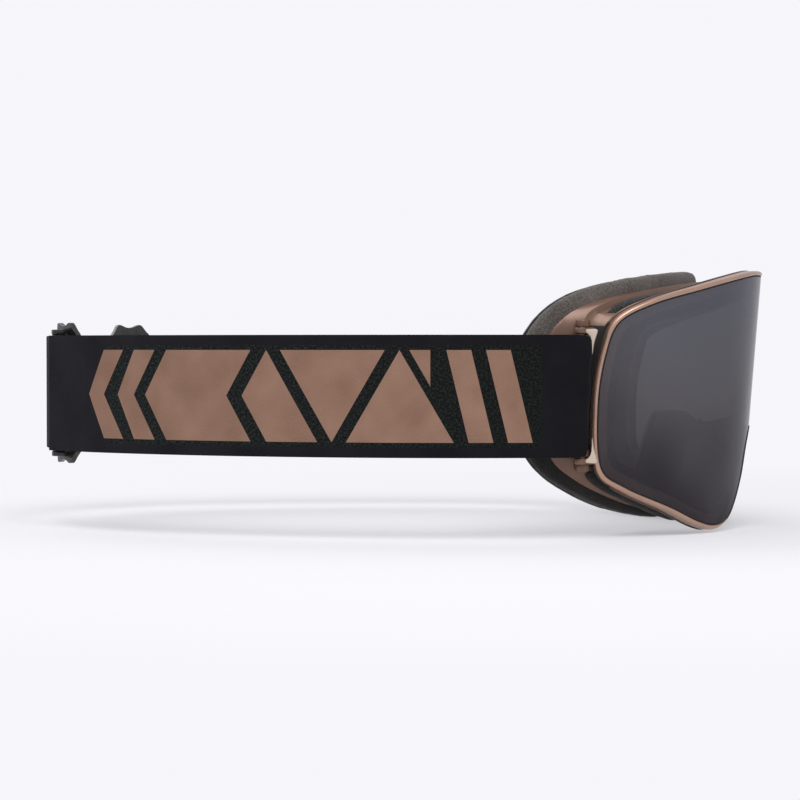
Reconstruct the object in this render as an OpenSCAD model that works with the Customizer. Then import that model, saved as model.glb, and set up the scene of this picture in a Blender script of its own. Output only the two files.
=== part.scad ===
// Snow goggles with a cylindrical shield lens, a frameless-looking carrier rim, a ventilated
// face frame, hinged outriggers and a wide elastic strap.
// Forward is +X, the wearer's left is +Y and up is +Z. The origin lies on the middle plane,
// at the strap's centre line, in the plane where the foam ends at the temples.
// All lengths are in millimetres and all angles in degrees.

/* [Lens and carrier] */
// Half of the carrier's outline, measured along its curve from the middle to the temple
lens_half_arc = 115.2; // [110:0.2:119]
// Top of the carrier above the strap's centre line
lens_top = 53; // [48:0.2:56]
// Lowest point of the carrier's two lobes below the strap's centre line
lens_drop = 57.4; // [50:0.2:60]
// Radius of the outer lens's front face
lens_r = 92; // [88:0.5:96]
// How far the lens stands ahead of the temples, on the middle plane
lens_front = 98.9; // [95:0.5:104]
// Forward lean of the lens, its top ahead of its bottom
lens_lean = 4.5; // [2:0.5:7]
// Thickness of the outer lens
outer_lens_t = 1.9; // [1.4:0.1:2.2]
// Thickness of the inner lens
inner_lens_t = 1.1; // [0.8:0.1:1.4]
// Air gap between the two lenses, filled at its edge by the spacer
lens_air_gap = 2.7; // [2.4:0.1:3]
// Width of the carrier's polished face band
rim_w = 2.5; // [2:0.1:3]
// Width of the carrier's ledge that the outer lens lies on
ledge_w = 3.7; // [3.4:0.1:4.2]
// Thickness of the carrier's ledge
ledge_t = 2.7; // [2.4:0.1:3.2]
// Width of the black seal between the carrier's band and the outer lens
gasket_w = 0.8; // [0.5:0.1:1]
// Width of the foam spacer between the lenses
spacer_w = 2.6; // [2:0.1:4]

/* [Magnets] */
// Diameter of the magnets that hold the carrier on the frame
magnet_d = 3.4; // [2.6:0.2:3.6]
// Thickness of each magnet
magnet_t = 1.5; // [1:0.1:1.6]

/* [Face frame] */
// Half of the foam flange's outline, measured along its curve
flange_half_arc = 111; // [106:1:114]
// Top of the foam flange above the strap's centre line
flange_top = 47.5; // [44:0.5:50]
// Bottom of the foam flange below the strap's centre line
flange_drop = 49.4; // [45:0.2:52]
// Radius of the foam flange's curve around the face
flange_r = 90; // [88:0.5:94]
// How far the foam flange stands ahead of the temples, on the middle plane
flange_front = 75; // [72:0.5:77]
// Wall thickness of the frame
frame_wall = 2.2; // [1.8:0.1:2.4]
// Width of the flange that the face foam is glued to
flange_w = 11; // [9:0.5:12]
// Depth of the recessed waist between the lens seat and the flange band
waist_depth = 2.6; // [1.8:0.1:3]
// Length of the upper vent along the brow, on each side of the middle
upper_vent_rows = 4.5; // [3.8:0.1:4.6]
// Thickness of the open-cell filter foam in the vents
vent_foam_t = 1.6; // [1.2:0.1:1.8]

/* [Face foam] */
// Half of the foam's outline where it meets the face, along its curve
foam_half_arc = 105; // [102:1:108]
// Top of the foam's face side above the strap's centre line
foam_top = 49.4; // [46:0.2:52]
// Bottom of the foam's face side below the strap's centre line
foam_drop = 49; // [45:0.2:52]
// Radius of the foam's curve around the face
foam_r = 88.4; // [86:0.5:92]
// How far the foam's face side stands ahead of the temples, on the middle plane
foam_front = 55; // [53:0.5:57]
// How far the foam's front edge stands out beyond the flange
foam_proud = 5; // [3:0.2:6]
// Width of the foam where it meets the face
foam_w = 14; // [12:0.5:16]
// Thickness of the fleece on the foam's face side
fleece_t = 1.6; // [1:0.1:2]

/* [Strap] */
// Width of the elastic webbing
strap_w = 50; // [46:1:51]
// Thickness of the elastic webbing
strap_t = 1.4; // [1:0.1:1.6]
// Half of the distance between the strap's two sides at their widest, to the outer layer
strap_half_width = 110.3; // [108:0.5:114]
// How far the strap reaches behind the temples
strap_reach = 221.3; // [210:1:240]
// Radius of the strap's gently curved sides
side_r = 250; // [240:5:270]
// Radius of the strap's curve around the back of the head
rear_r = 88.9; // [84:0.5:94]
// Clearance between the strap's two layers
layer_clearance = 1.3; // [1:0.1:1.6]

/* [Sliders] */
// Place of each slider around the back of the head, measured from straight sideways
slider_angle = 51; // [49:1:56]
// Radius of the slider's centre bar
slider_bar_r = 1.2; // [1:0.1:1.4]
// Spread of the slider's front and rear bars to each side of its centre bar
slider_spread = 6; // [5:0.5:7]
// Height of the slider's end plates beyond the webbing
slider_end_h = 5.2; // [4:0.2:6]
// Thickness of the slider's plate
slider_t = 3.2; // [2.8:0.2:3.6]

/* [Outriggers] */
// Radius of the bar that the strap passes round
strap_bar_r = 1.5; // [1.3:0.1:1.7]
// Distance from the strap bar inwards to the outrigger's pivot
outrigger_arm = 7.9; // [7.6:0.1:8.3]
// Thickness of the outrigger's arms
outrigger_t = 2.4; // [2:0.1:2.8]
// Radius of the outrigger's steel pivot pins
pin_r = 1; // [0.8:0.1:1.2]
// Thickness of the frame lugs that hold each pin
lug_t = 3; // [2.4:0.2:3.6]

/* [Hidden] */

// Overrun of every cut beyond the face it passes through
cut = 1;
// Gap between pieces that touch or are glued along curved faces
seat_gap = 0.3;
// Radial clearance of a pin that is pressed in, and of one that turns
press_gap = 0.02;
turn_gap = 0.06;
// Smoothness of round parts, and of the wide arcs of the strap
round_fn = 40;
arc_fn = 180;
// Angle times radius of one step along the strap's arcs, and the widest step
chord_work = 250;
widest_step = 12;
// Stations between two rows of an outline
steps = 3;
right = -1;
left = 1;

// Outline of the carrier from the top middle, round the temple, to the top of the nose arch:
// shares of the half arc, and of the height from the lobes to the top
lens_shares = [
    [0, 1], [0.2, 0.997], [0.4, 0.972], [0.6, 0.932], [0.8, 0.88], [0.94, 0.805],
    [0.987, 0.67], [1, 0.48], [0.97, 0.246], [0.862, 0.16], [0.66, 0.08], [0.5, 0.018],
    [0.375, 0], [0.262, 0.05], [0.167, 0.17], [0.099, 0.315], [0, 0.385]
];
// Outline of the flange, in the same order, with a wider nose
flange_shares = [
    [0, 1], [0.2, 0.995], [0.4, 0.982], [0.6, 0.957], [0.78, 0.919], [0.92, 0.846],
    [0.99, 0.731], [1, 0.51], [0.985, 0.27], [0.893, 0.158], [0.72, 0.062], [0.56, 0.015],
    [0.42, 0], [0.314, 0.044], [0.229, 0.152], [0.124, 0.272], [0, 0.318]
];
// Outline of the foam where it meets the face, with rounder temples
foam_shares = [
    [0, 1], [0.2, 0.995], [0.4, 0.979], [0.6, 0.952], [0.78, 0.9], [0.9, 0.806],
    [0.975, 0.67], [1, 0.503], [0.96, 0.302], [0.87, 0.166], [0.71, 0.065], [0.56, 0.014],
    [0.42, 0], [0.315, 0.05], [0.23, 0.161], [0.125, 0.282], [0, 0.322]
];
rows = len(lens_shares) - 1;
temple_row = 7;
stations = 2 * rows * steps;

// Radii of the carrier's layers, counted in from the lens's front face
rim_proud = 0.3;
rim_bevel = 0.4;
ledge_front = outer_lens_t + seat_gap;
carrier_depth = ledge_front + ledge_t;
carrier_w = rim_w + gasket_w + ledge_w - seat_gap;
outer_lens_inset = rim_w + gasket_w + seat_gap;
spacer_inset = carrier_w + seat_gap * 3;
spacer_front = outer_lens_t + seat_gap;
inner_lens_front = outer_lens_t + lens_air_gap;
magnet_inset = carrier_w - magnet_d / 2 - seat_gap * 3;
magnet_r = magnet_d / 2;
// Rows of the outline beside which magnets sit, on each side
magnet_rows = [2.4, 4.4, 12];

// Axes of the lens's, flange's and foam's curves, and the width of the carrier's seat
lens_axis_x = lens_front - lens_r;
flange_axis_x = flange_front - flange_r;
foam_axis_x = foam_front - foam_r;
frame_lip_w = carrier_w - seat_gap;
frame_proud = 0.6;
temple_wall = 1.5;

// Shares of the way from the lens seat to the flange where the frame's section turns, and how
// much nearer the lens the recessed waist ends at the temples
lip_back_share = 0.15;
waist_front_share = 0.06;
waist_rear_share = 0.7;
band_front_share = 0.74;
temple_band_share = 0.4;
flange_front_share = 0.92;
inner_rear_share = 0.85;
// Where the flange and foam start to narrow towards the nose, and how far they narrow
nose_first_row = 9.5;
nose_blend_rows = 2.5;
nose_width_share = 0.62;
// Shares of the way from the flange to the face where the foam's section turns
foam_start_share = 1.02;
foam_root_share = 1.06;
foam_front_share = 1.14;
foam_turn_share = 1.6;
foam_end_share = 1.88;
fleece_front_share = 1.895;
foam_root_rise_share = 0.7;
foam_fall_share = 0.5;
foam_swell = 1.5;
foam_root_w = flange_w - seat_gap * 2;

// Vents, as shares of the way from the lens seat to the flange
vent_front_share = 0.17;
upper_vent_rear_share = 0.66;
lower_vent_rear_share = 0.6;
lower_vent_first_row = 8.4;
lower_vent_last_row = 11.3;
vent_taper_rows = 1;
vent_end_share = 0.3;
vent_rib_row = 2.1;
vent_rib_half = 0.08;
vent_trim_rows = 0.08;
vent_trim_share = 0.3;

// Temple end of the carrier, and the strap bar just behind it
temple_angle = lens_half_arc / lens_r * 180 / PI;
temple_x = lens_axis_x + lens_r * cos(temple_angle);
temple_y = lens_r * sin(temple_angle);
wrap_clearance = 1.1;
wrap_r = strap_bar_r + wrap_clearance + strap_t / 2;
rim_gap = 1;
bar_x = temple_x - rim_gap - wrap_r - strap_t / 2;
bar_stand = 5.54;
bar_y = temple_y + bar_stand;

// The strap's plan: a side arc from each bar to the widest place, one from there to the rear
// arc, and an inner layer inside them
layer_step = strap_t + layer_clearance;
rear_x = rear_r + strap_t / 2 - strap_reach;
side_y = strap_half_width - side_r;
bar_turn = acos((bar_y - side_y) / (side_r - wrap_r));
side_x = bar_x - (side_r - wrap_r) * sin(bar_turn);
side_run = side_x - rear_x;
back_side_r = (side_run * side_run + strap_half_width * strap_half_width - rear_r * rear_r)
    / (2 * (strap_half_width - rear_r));
back_side_y = strap_half_width - back_side_r;
side_turn = atan2(side_run, -back_side_y);
inner_half_width = strap_half_width - layer_step;
inner_fall = inner_half_width - bar_y;
bar_run = bar_x - side_x;
inner_r = (bar_run * bar_run + inner_fall * inner_fall - wrap_r * wrap_r)
    / (2 * (inner_fall + wrap_r));
inner_turn = asin(bar_run / (inner_r + wrap_r));

// The sewn loop of the outer layer round the slider's centre bar
webbing_outer_r = rear_r - layer_step + strap_t / 2;
webbing_inner_r = rear_r - layer_step - strap_t / 2;
layer_thinning = 0.2;
tab_t = strap_t - layer_thinning;
tab_r = webbing_outer_r + seat_gap + tab_t / 2;
loop_r = slider_bar_r + seat_gap + tab_t / 2;
slider_bar_place = tab_r + loop_r;
pull_length = sqrt(pow(slider_bar_place, 2) - pow(rear_r - loop_r, 2));
pull_turn = atan(pull_length / (rear_r - loop_r));
tab_turn = 9;
slider_polar = 90 + slider_angle;

// The slider's bars and end plates
slider_gap = 0.4;
inner_bar_t = 2.2;
inner_bar_place = webbing_inner_r - seat_gap - inner_bar_t / 2;
inner_bar_half_turn = 1.2;
slider_plate_r = inner_bar_place - inner_bar_t / 2;
slider_half_l = rear_r * sin(slider_spread + inner_bar_half_turn);
slider_peak_share = 0.52;
slider_dip_share = 0.3;
slider_post_half_w = 2.8;

// The outrigger's arms, knuckles and pins
arm_gap = 0.5;
arm_z = strap_w / 2 + arm_gap;
arm_end_wall = 1.1;
arm_end_r = strap_bar_r + arm_end_wall;
knuckle_wall = 1.7;
knuckle_r = pin_r + knuckle_wall;
pivot_x = bar_x;
pivot_y = bar_y - outrigger_arm;
ear_reach = 5.6;
lug_gap = 0.25;
lug_margin = 0.2;
lug_r = knuckle_r + lug_margin;
lug_first_row = 4;
lug_last_row = 10;
lug_sink = 0.9;
pocket_r = knuckle_r + arm_gap;
pin_end_gap = 0.3;

function lerp(a, b, t) = a + (b - a) * t;

// A closed outline from one side's rows of shares: its points run from the top middle round
// the left temple to the nose and back round the right temple
function closed_rows(shares, half, drop, top) =
    let (
        one = [for (p = shares) [p[0] * half, lerp(-drop, top, p[1])]],
        last = len(one) - 1
    )
    concat(one, [for (i = [last - 1:-1:1]) [-one[i][0], one[i][1]]]);
function curve_point(a, b, c, d, u) =
    (2 * b + (c - a) * u + (2 * a - 5 * b + 4 * c - d) * u * u
        + (3 * b - a - 3 * c + d) * u * u * u) / 2;
function smooth_outline(pts) =
    let (n = len(pts))
    [for (i = [0:n - 1], j = [0:steps - 1])
        curve_point(pts[(i + n - 1) % n], pts[i], pts[(i + 1) % n], pts[(i + 2) % n],
            j / steps)];
function outline_normals(pts) =
    let (n = len(pts))
    [for (i = [0:n - 1])
        let (d = pts[(i + 1) % n] - pts[(i + n - 1) % n])
        [-d[1], d[0]] / norm(d)];

lens_line = smooth_outline(closed_rows(lens_shares, lens_half_arc, lens_drop, lens_top));
lens_out = outline_normals(lens_line);
flange_line = smooth_outline(closed_rows(flange_shares, flange_half_arc, flange_drop, flange_top));
flange_out = outline_normals(flange_line);
foam_line = smooth_outline(closed_rows(foam_shares, foam_half_arc, foam_drop, foam_top));
foam_out = outline_normals(foam_line);

// A point on an upright cylinder, from its place along the curve and its height
function on_curve(q, axis_x, curve_r, r, lean) =
    let (a = q[0] / curve_r * 180 / PI)
    [axis_x + r * cos(a) + tan(lean) * q[1], r * sin(a), q[1]];
function lens_point(k, w, depth) =
    on_curve(lens_line[k] + lens_out[k] * w, lens_axis_x, lens_r, lens_r - depth, lens_lean);
function flange_point(k, w, sink) =
    on_curve(flange_line[k] + flange_out[k] * w, flange_axis_x, flange_r, flange_r - sink, 0);
function foam_point(k, w) =
    on_curve(foam_line[k] + foam_out[k] * w, foam_axis_x, foam_r, foam_r, 0);

// A point of the frame or foam: t is 0 at the lens seat, 1 at the flange and 2 at the face,
// w is its distance out from the outline, and sink its depth inside the two curves
function body_point(k, t, w, sink = 0) = t <= 1
    ? lerp(lens_point(k, w, carrier_depth + seat_gap + sink), flange_point(k, w, sink), t)
    : lerp(flange_point(k, w, 0), foam_point(k, w), t - 1);

// Share of the temple's wider band that a station has: none at the brow and nose, all of it
// between the outrigger's two arms
band_shares = [[3.9, 0], [4.7, 0.2], [5.5, 0.8], [6, 1], [7.8, 1], [8.3, 0.5], [9, 0.15], [10, 0]];
function temple_band(k) = lookup(min(k, stations - k) / steps, band_shares);

// Share of its full height over the flange that the foam has: all of it at the brow and
// temples, less below
stand_out_shares = [[8, 1], [9.5, 0.7], [12, 0.5], [16, 0.4]];
function stand_out(k) = lookup(min(k, stations - k) / steps, stand_out_shares);

// Share of its full width that the flange and foam keep round the nose
function nose_width(k) =
    let (row = min(k, stations - k) / steps)
    lerp(1, nose_width_share, min(1, max(0, (row - nose_first_row) / nose_blend_rows)));

function strip_faces(count, m, turns) =
    [for (i = [0:turns - 1], j = [0:m - 1])
        let (
            a = i * m + j,
            b = i * m + (j + 1) % m,
            c = ((i + 1) % count) * m + (j + 1) % m,
            d = ((i + 1) % count) * m + j
        )
        each [[a, b, c], [a, c, d]]];

// A closed ring through sections of equal length
module ring_solid(sections) {
    n = len(sections);
    m = len(sections[0]);
    polyhedron([for (s = sections) each s], strip_faces(n, m, n));
}

// A bar through sections of equal length, with flat ends
module bar_solid(sections) {
    n = len(sections);
    m = len(sections[0]);
    first = [for (j = [m - 1:-1:0]) j];
    last = [for (j = [0:m - 1]) (n - 1) * m + j];
    polyhedron([for (s = sections) each s], concat(strip_faces(n, m, n - 1), [first, last]));
}

// A sheet on the lens's curve, from its inset, the depth of its front face and its thickness
module lens_sheet(inset, depth, t) {
    columns = 96;
    end_share = 0.9996;
    edge = [for (k = [0:stations - 1]) lens_line[k] - lens_out[k] * inset];
    top = [for (k = [0:temple_row * steps]) edge[k]];
    low = [for (k = [rows * steps:-1:temple_row * steps]) edge[k]];
    half = edge[temple_row * steps][0] * end_share;
    bar_solid([for (i = [0:columns])
        let (
            s = half * sin(90 * (2 * i / columns - 1)),
            hi = [s, lookup(abs(s), top)],
            lo = [s, lookup(abs(s), low)]
        )
        [
            on_curve(hi, lens_axis_x, lens_r, lens_r - depth, lens_lean),
            on_curve(lo, lens_axis_x, lens_r, lens_r - depth, lens_lean),
            on_curve(lo, lens_axis_x, lens_r, lens_r - depth - t, lens_lean),
            on_curve(hi, lens_axis_x, lens_r, lens_r - depth - t, lens_lean)
        ]]);
}

// A ring on the lens's curve, from section points of inset and depth
module lens_ring(section) {
    ring_solid([for (k = [0:stations - 1])
        [for (p = section) lens_point(k, -p[0], p[1])]]);
}

// A ring of the frame or foam, from section points of share t, place w, the width still to
// come, which narrows round the nose, the share that t loses at the temples, and the depth
// that the wall gains there
module body_ring(section) {
    ring_solid([for (k = [0:stations - 1])
        let (band = temple_band(k))
        [for (p = section)
            body_point(k, p[0] - p[3] * band, p[1] - p[2] * nose_width(k), p[4] * band)]]);
}

// A stretch of the frame's wall between two rows, tapered at its ends
module vent_block(first_row, last_row, front, rear, w_out, w_in, trim, tapers) {
    first = first_row * steps;
    last = last_row * steps;
    count = ceil(last - first);
    bar_solid([for (i = [0:count])
        let (
            place = lerp(first, last, i / count)
                + steps * trim * (i == 0 ? 1 : i == count ? -1 : 0),
            k = (floor(place) + 2 * stations) % stations,
            k2 = (k + 1) % stations,
            part = place - floor(place),
            end_rows = min(tapers[0] ? place - first : steps * vent_taper_rows,
                tapers[1] ? last - place : steps * vent_taper_rows) / steps,
            grow = lerp(vent_end_share, 1, sqrt(min(1, end_rows / vent_taper_rows))),
            back = rear - temple_band_share * temple_band((place + stations) % stations),
            mid = (front + back) / 2,
            f = mid - (mid - front) * grow + trim * vent_trim_share,
            r = mid + (back - mid) * grow - trim * vent_trim_share
        )
        [
            lerp(body_point(k, f, w_out), body_point(k2, f, w_out), part),
            lerp(body_point(k, r, w_out), body_point(k2, r, w_out), part),
            lerp(body_point(k, r, w_in), body_point(k2, r, w_in), part),
            lerp(body_point(k, f, w_in), body_point(k2, f, w_in), part)
        ]]);
}

// What sits at a station of the carrier, with +Z along the lens's outward normal
module at_station(row, side, inset, depth) {
    k = side > 0 ? round(row * steps) : stations - round(row * steps);
    p = lens_point(k, -inset, depth);
    q = lens_line[k] - lens_out[k] * inset;
    translate(p) rotate([0, 90, q[0] / lens_r * 180 / PI]) children();
}

module magnet_set(depth, r, t) {
    for (side = [right, left], row = magnet_rows) {
        at_station(row, side, magnet_inset, depth) {
            translate([0, 0, -t]) cylinder(r = r, h = t, $fn = round_fn);
        }
    }
}

// A band of webbing or a bar, bent on an arc in plan
module arc_band(centre, r, from, to, t, h) {
    translate([centre[0], centre[1], -h / 2]) rotate([0, 0, from]) {
        rotate_extrude(angle = to - from, $fn = arc_fn) {
            translate([r - t / 2, 0]) square([t, h]);
        }
    }
}

// Points beside an arc in plan, on the left (+1) or right (-1) of the way it is travelled.
// An arc is its centre, radius, first and last angle
function beside(arc, hand, t) =
    let (
        turn = sign(arc[3] - arc[2]),
        r = arc[1] - hand * turn * t / 2,
        n = ceil(abs(arc[3] - arc[2]) / min(widest_step, chord_work / arc[1]))
    )
    [for (i = [0:n])
        let (a = lerp(arc[2], arc[3], i / n))
        arc[0] + r * [cos(a), sin(a)]];
function mirrored(arcs) =
    [for (i = [len(arcs) - 1:-1:0])
        let (a = arcs[i])
        [[a[0][0], -a[0][1]], a[1], -a[3], -a[2]]];
function backwards(pts) = [for (i = [len(pts) - 1:-1:0]) pts[i]];

// Webbing that follows a chain of arcs in plan
module webbing(arcs, t) {
    near_side = [for (a = arcs) each beside(a, 1, t)];
    far_side = [for (a = arcs) each beside(a, -1, t)];
    linear_extrude(strap_w, center = true) polygon(concat(near_side, backwards(far_side)));
}

module on_side(side) {
    if (side > 0) children();
    else mirror([0, 1, 0]) children();
}

module main_frame() {
    inner = -waist_depth - frame_wall;
    color([0.68, 0.47, 0.38]) {
        difference() {
            union() {
                body_ring([
                    [0, frame_proud, 0, 0, 0], [waist_front_share, frame_proud, 0, 0, 0],
                    [waist_front_share * 2, -waist_depth, 0, 0, 0],
                    [waist_rear_share, -waist_depth, 0, temple_band_share, 0],
                    [band_front_share, -seat_gap, 0, temple_band_share, 0],
                    [flange_front_share, 0, 0, 0, 0], [1, 0, 0, 0, 0],
                    [1, 0, flange_w, 0, 0], [flange_front_share, 0, flange_w, 0, 0],
                    [inner_rear_share, inner, 0, temple_band_share, temple_wall],
                    [lip_back_share, inner, 0, 0, temple_wall],
                    [lip_back_share, -frame_lip_w, 0, 0, 0], [0, -frame_lip_w, 0, 0, 0]
                ]);
                for (side = [right, left]) on_side(side) outrigger_lugs();
            }
            upper_vent_slots(cut, inner - cut, 0);
            for (side = [right, left]) lower_vent_slot(side, cut, inner - cut, 0);
            magnet_set(carrier_depth, magnet_r + press_gap,
                magnet_t + seat_gap * 2);
            for (side = [right, left]) on_side(side) outrigger_room();
        }
    }
}

// The upper vent's four slots, between three ribs, or the foam that fills them
module upper_vent_slots(w_out, w_in, trim) {
    ends = [-upper_vent_rows, -vent_rib_row, 0, vent_rib_row, upper_vent_rows];
    for (i = [0:3]) {
        vent_block(ends[i] + (i == 0 ? 0 : vent_rib_half),
            ends[i + 1] - (i == 3 ? 0 : vent_rib_half),
            vent_front_share, upper_vent_rear_share, w_out, w_in, trim, [i == 0, i == 3]);
    }
}

// One lower vent slot on the given side
module lower_vent_slot(side, w_out, w_in, trim) {
    first = side > 0 ? lower_vent_first_row : 2 * rows - lower_vent_last_row;
    last = side > 0 ? lower_vent_last_row : 2 * rows - lower_vent_first_row;
    vent_block(first, last, vent_front_share, lower_vent_rear_share, w_out, w_in, trim,
        [true, true]);
}

// The place in the middle of the temple's wall that is nearest to a pivot, at a height
function wall_place(z) =
    let (
        heights = [for (k = [lug_first_row * steps:lug_last_row * steps]) [-lens_line[k][1], k]],
        k = round(lookup(-z, heights)),
        w = -waist_depth - frame_wall / 2,
        a = body_point(k, lip_back_share, w),
        b = body_point(k, inner_rear_share - temple_band_share * temple_band(k), w),
        u = (a[0] - pivot_x) / (a[0] - b[0])
    )
    lerp(a, b, max(0, min(1, u)));

// The lugs above and below each arm of an outrigger, rooted in the temple's wall
module outrigger_lugs() {
    for (up = [-1, 1]) {
        for (z = [arm_z - lug_gap - lug_t / 2, arm_z + outrigger_t + lug_gap + lug_t / 2]) {
            wall = wall_place(up * z);
            run = [wall[0] - pivot_x, wall[1] - pivot_y];
            root = norm(run) + lug_sink;
            translate([pivot_x, pivot_y, up * z]) {
                cylinder(r = lug_r, h = lug_t, center = true, $fn = round_fn);
                rotate([0, 0, atan2(run[1], run[0])]) translate([root / 2, 0, 0]) {
                    cube([root, 2 * lug_r, lug_t], center = true);
                }
            }
        }
    }
}

// Room for the knuckles, and the bores for the pins
module outrigger_room() {
    for (up = [-1, 1]) {
        translate([pivot_x, pivot_y, up * (arm_z + outrigger_t / 2)]) {
            cylinder(r = pocket_r, h = outrigger_t + 2 * lug_gap, center = true,
                $fn = round_fn);
            cylinder(r = pin_r + press_gap, h = pin_length() + pin_end_gap, center = true,
                $fn = round_fn);
        }
    }
}

function pin_length() = outrigger_t + 2 * lug_gap + 2 * lug_t - 2 * pin_end_gap;

module outrigger_pins(side) {
    color([0.7, 0.7, 0.72]) on_side(side) {
        for (up = [-1, 1]) {
            translate([pivot_x, pivot_y, up * (arm_z + outrigger_t / 2)]) {
                cylinder(r = pin_r, h = pin_length(), center = true, $fn = round_fn);
            }
        }
    }
}

module outrigger(side) {
    color([0.72, 0.5, 0.41]) on_side(side) {
        translate([bar_x, bar_y, 0]) {
            cylinder(r = strap_bar_r, h = 2 * arm_z + outrigger_t, center = true,
                $fn = round_fn);
        }
        for (up = [-1, 1]) {
            translate([0, 0, up * (arm_z + outrigger_t / 2)]) {
                linear_extrude(outrigger_t, center = true) arm_plan();
            }
        }
    }
}

// One arm in plan: a link from the strap bar to the pivot, with a nose that points forward
module arm_plan() {
    difference() {
        union() {
            translate([bar_x, bar_y]) circle(arm_end_r, $fn = round_fn);
            translate([pivot_x, pivot_y]) circle(knuckle_r, $fn = round_fn);
            polygon([
                [bar_x - arm_end_r, bar_y], [bar_x + arm_end_r, bar_y],
                [bar_x + ear_reach, bar_y - arm_end_r],
                [pivot_x + knuckle_r, pivot_y], [pivot_x - knuckle_r, pivot_y]
            ]);
        }
        translate([pivot_x, pivot_y]) circle(pin_r + turn_gap, $fn = round_fn);
    }
}

module face_foam() {
    color([0.42, 0.39, 0.37]) {
        ring_solid([for (k = [0:stations - 1])
            let (
                proud = foam_proud * stand_out(k),
                root_w = foam_root_w * nose_width(k),
                face_w = foam_w * nose_width(k)
            ) [
                body_point(k, foam_start_share, 0),
                body_point(k, foam_root_share, proud * foam_root_rise_share),
                body_point(k, foam_front_share, proud),
                body_point(k, foam_turn_share, proud * foam_fall_share),
                body_point(k, foam_end_share, 0),
                body_point(k, foam_end_share, -face_w),
                body_point(k, foam_turn_share, -face_w - foam_swell),
                body_point(k, foam_front_share, -face_w - foam_swell),
                body_point(k, foam_start_share, -root_w)
            ]]);
    }
}

module face_fleece() {
    color([0.08, 0.08, 0.09]) {
        body_ring([
            [fleece_front_share, seat_gap, 0, 0, 0], [2, -fleece_t, 0, 0, 0],
            [2, fleece_t, foam_w, 0, 0], [fleece_front_share, -seat_gap, foam_w, 0, 0]
        ]);
    }
}

module upper_vent_foam() {
    color([0.2, 0.2, 0.21]) {
        upper_vent_slots(-waist_depth - seat_gap, -waist_depth - seat_gap - vent_foam_t,
            vent_trim_rows);
    }
}

module lower_vent_foam(side) {
    color([0.16, 0.16, 0.17]) {
        lower_vent_slot(side, -waist_depth - seat_gap, -waist_depth - seat_gap - vent_foam_t,
            vent_trim_rows);
    }
}

module frame_magnets() {
    color([0.75, 0.75, 0.77]) magnet_set(carrier_depth + 2 * seat_gap, magnet_r, magnet_t);
}

module carrier_magnets() {
    color([0.75, 0.75, 0.77]) {
        magnet_set(carrier_depth - magnet_t, magnet_r, magnet_t);
    }
}

module lens_carrier() {
    color([0.74, 0.5, 0.4]) {
        difference() {
            lens_ring([
                [rim_bevel, -rim_proud], [0, seat_gap], [0, carrier_depth],
                [carrier_w, carrier_depth], [carrier_w, ledge_front], [rim_w, ledge_front],
                [rim_w, 0], [rim_w - rim_bevel, -rim_proud]
            ]);
            magnet_set(carrier_depth - magnet_t - press_gap, magnet_r + press_gap,
                magnet_t + cut);
        }
    }
}

module outer_lens() {
    color([0.35, 0.35, 0.38]) lens_sheet(outer_lens_inset, 0, outer_lens_t);
}

module inner_lens() {
    color([0.6, 0.62, 0.64]) lens_sheet(spacer_inset, inner_lens_front, inner_lens_t);
}

module lens_spacer() {
    color([0.1, 0.1, 0.1]) {
        lens_ring([
            [spacer_inset, spacer_front], [spacer_inset, inner_lens_front - seat_gap],
            [spacer_inset + spacer_w, inner_lens_front - seat_gap],
            [spacer_inset + spacer_w, spacer_front]
        ]);
    }
}

module lens_gasket() {
    color([0.03, 0.03, 0.03]) {
        lens_ring([
            [rim_w + press_gap, 0], [rim_w + press_gap, outer_lens_t],
            [rim_w + gasket_w, outer_lens_t], [rim_w + gasket_w, 0]
        ]);
    }
}

// The adjustable layer: from one strap bar, inside the printed layer and round the head
module strap_webbing() {
    half = [
        [[bar_x, bar_y], wrap_r, 90 - bar_turn, -90 - inner_turn],
        [[side_x, inner_half_width - inner_r], inner_r, 90 - inner_turn, 90],
        [[side_x, back_side_y], back_side_r - layer_step, 90, 90 + side_turn]
    ];
    back = [[rear_x, 0], rear_r - layer_step, 90 + side_turn, 270 - side_turn];
    other = [for (a = mirrored(half)) [a[0], a[1], a[2] + 360, a[3] + 360]];
    color([0.12, 0.11, 0.13]) webbing(concat(half, [back], other), strap_t);
}

// The printed outer layer, pulled straight to the slider and sewn round its centre bar
module strap_layer(side) {
    pull_polar = slider_polar - pull_turn;
    loop_at = [rear_x, 0] + slider_bar_place * [cos(slider_polar), sin(slider_polar)];
    color([0.12, 0.11, 0.13]) on_side(side) {
        webbing([
            [[side_x, side_y], side_r, 90 - bar_turn, 90],
            [[side_x, back_side_y], back_side_r, 90, 90 + side_turn],
            [[rear_x, 0], rear_r, 90 + side_turn, pull_polar],
            [loop_at, loop_r, pull_polar, slider_polar + 180],
            [[rear_x, 0], tab_r, slider_polar, slider_polar - tab_turn]
        ], tab_t);
    }
}

module slider(side) {
    color([0.1, 0.1, 0.1]) on_side(side) {
        translate([rear_x, 0, 0]) rotate([0, 0, slider_polar]) {
            translate([slider_bar_place, 0, 0]) {
                cylinder(r = slider_bar_r, h = strap_w + slider_end_h, center = true,
                    $fn = round_fn);
            }
            for (turn = [-slider_spread, slider_spread]) {
                arc_band([0, 0], inner_bar_place, turn - inner_bar_half_turn,
                    turn + inner_bar_half_turn, inner_bar_t, strap_w + 2 * slider_gap);
            }
            for (up = [0, 1]) mirror([0, 0, up]) slider_end();
        }
    }
}

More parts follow.
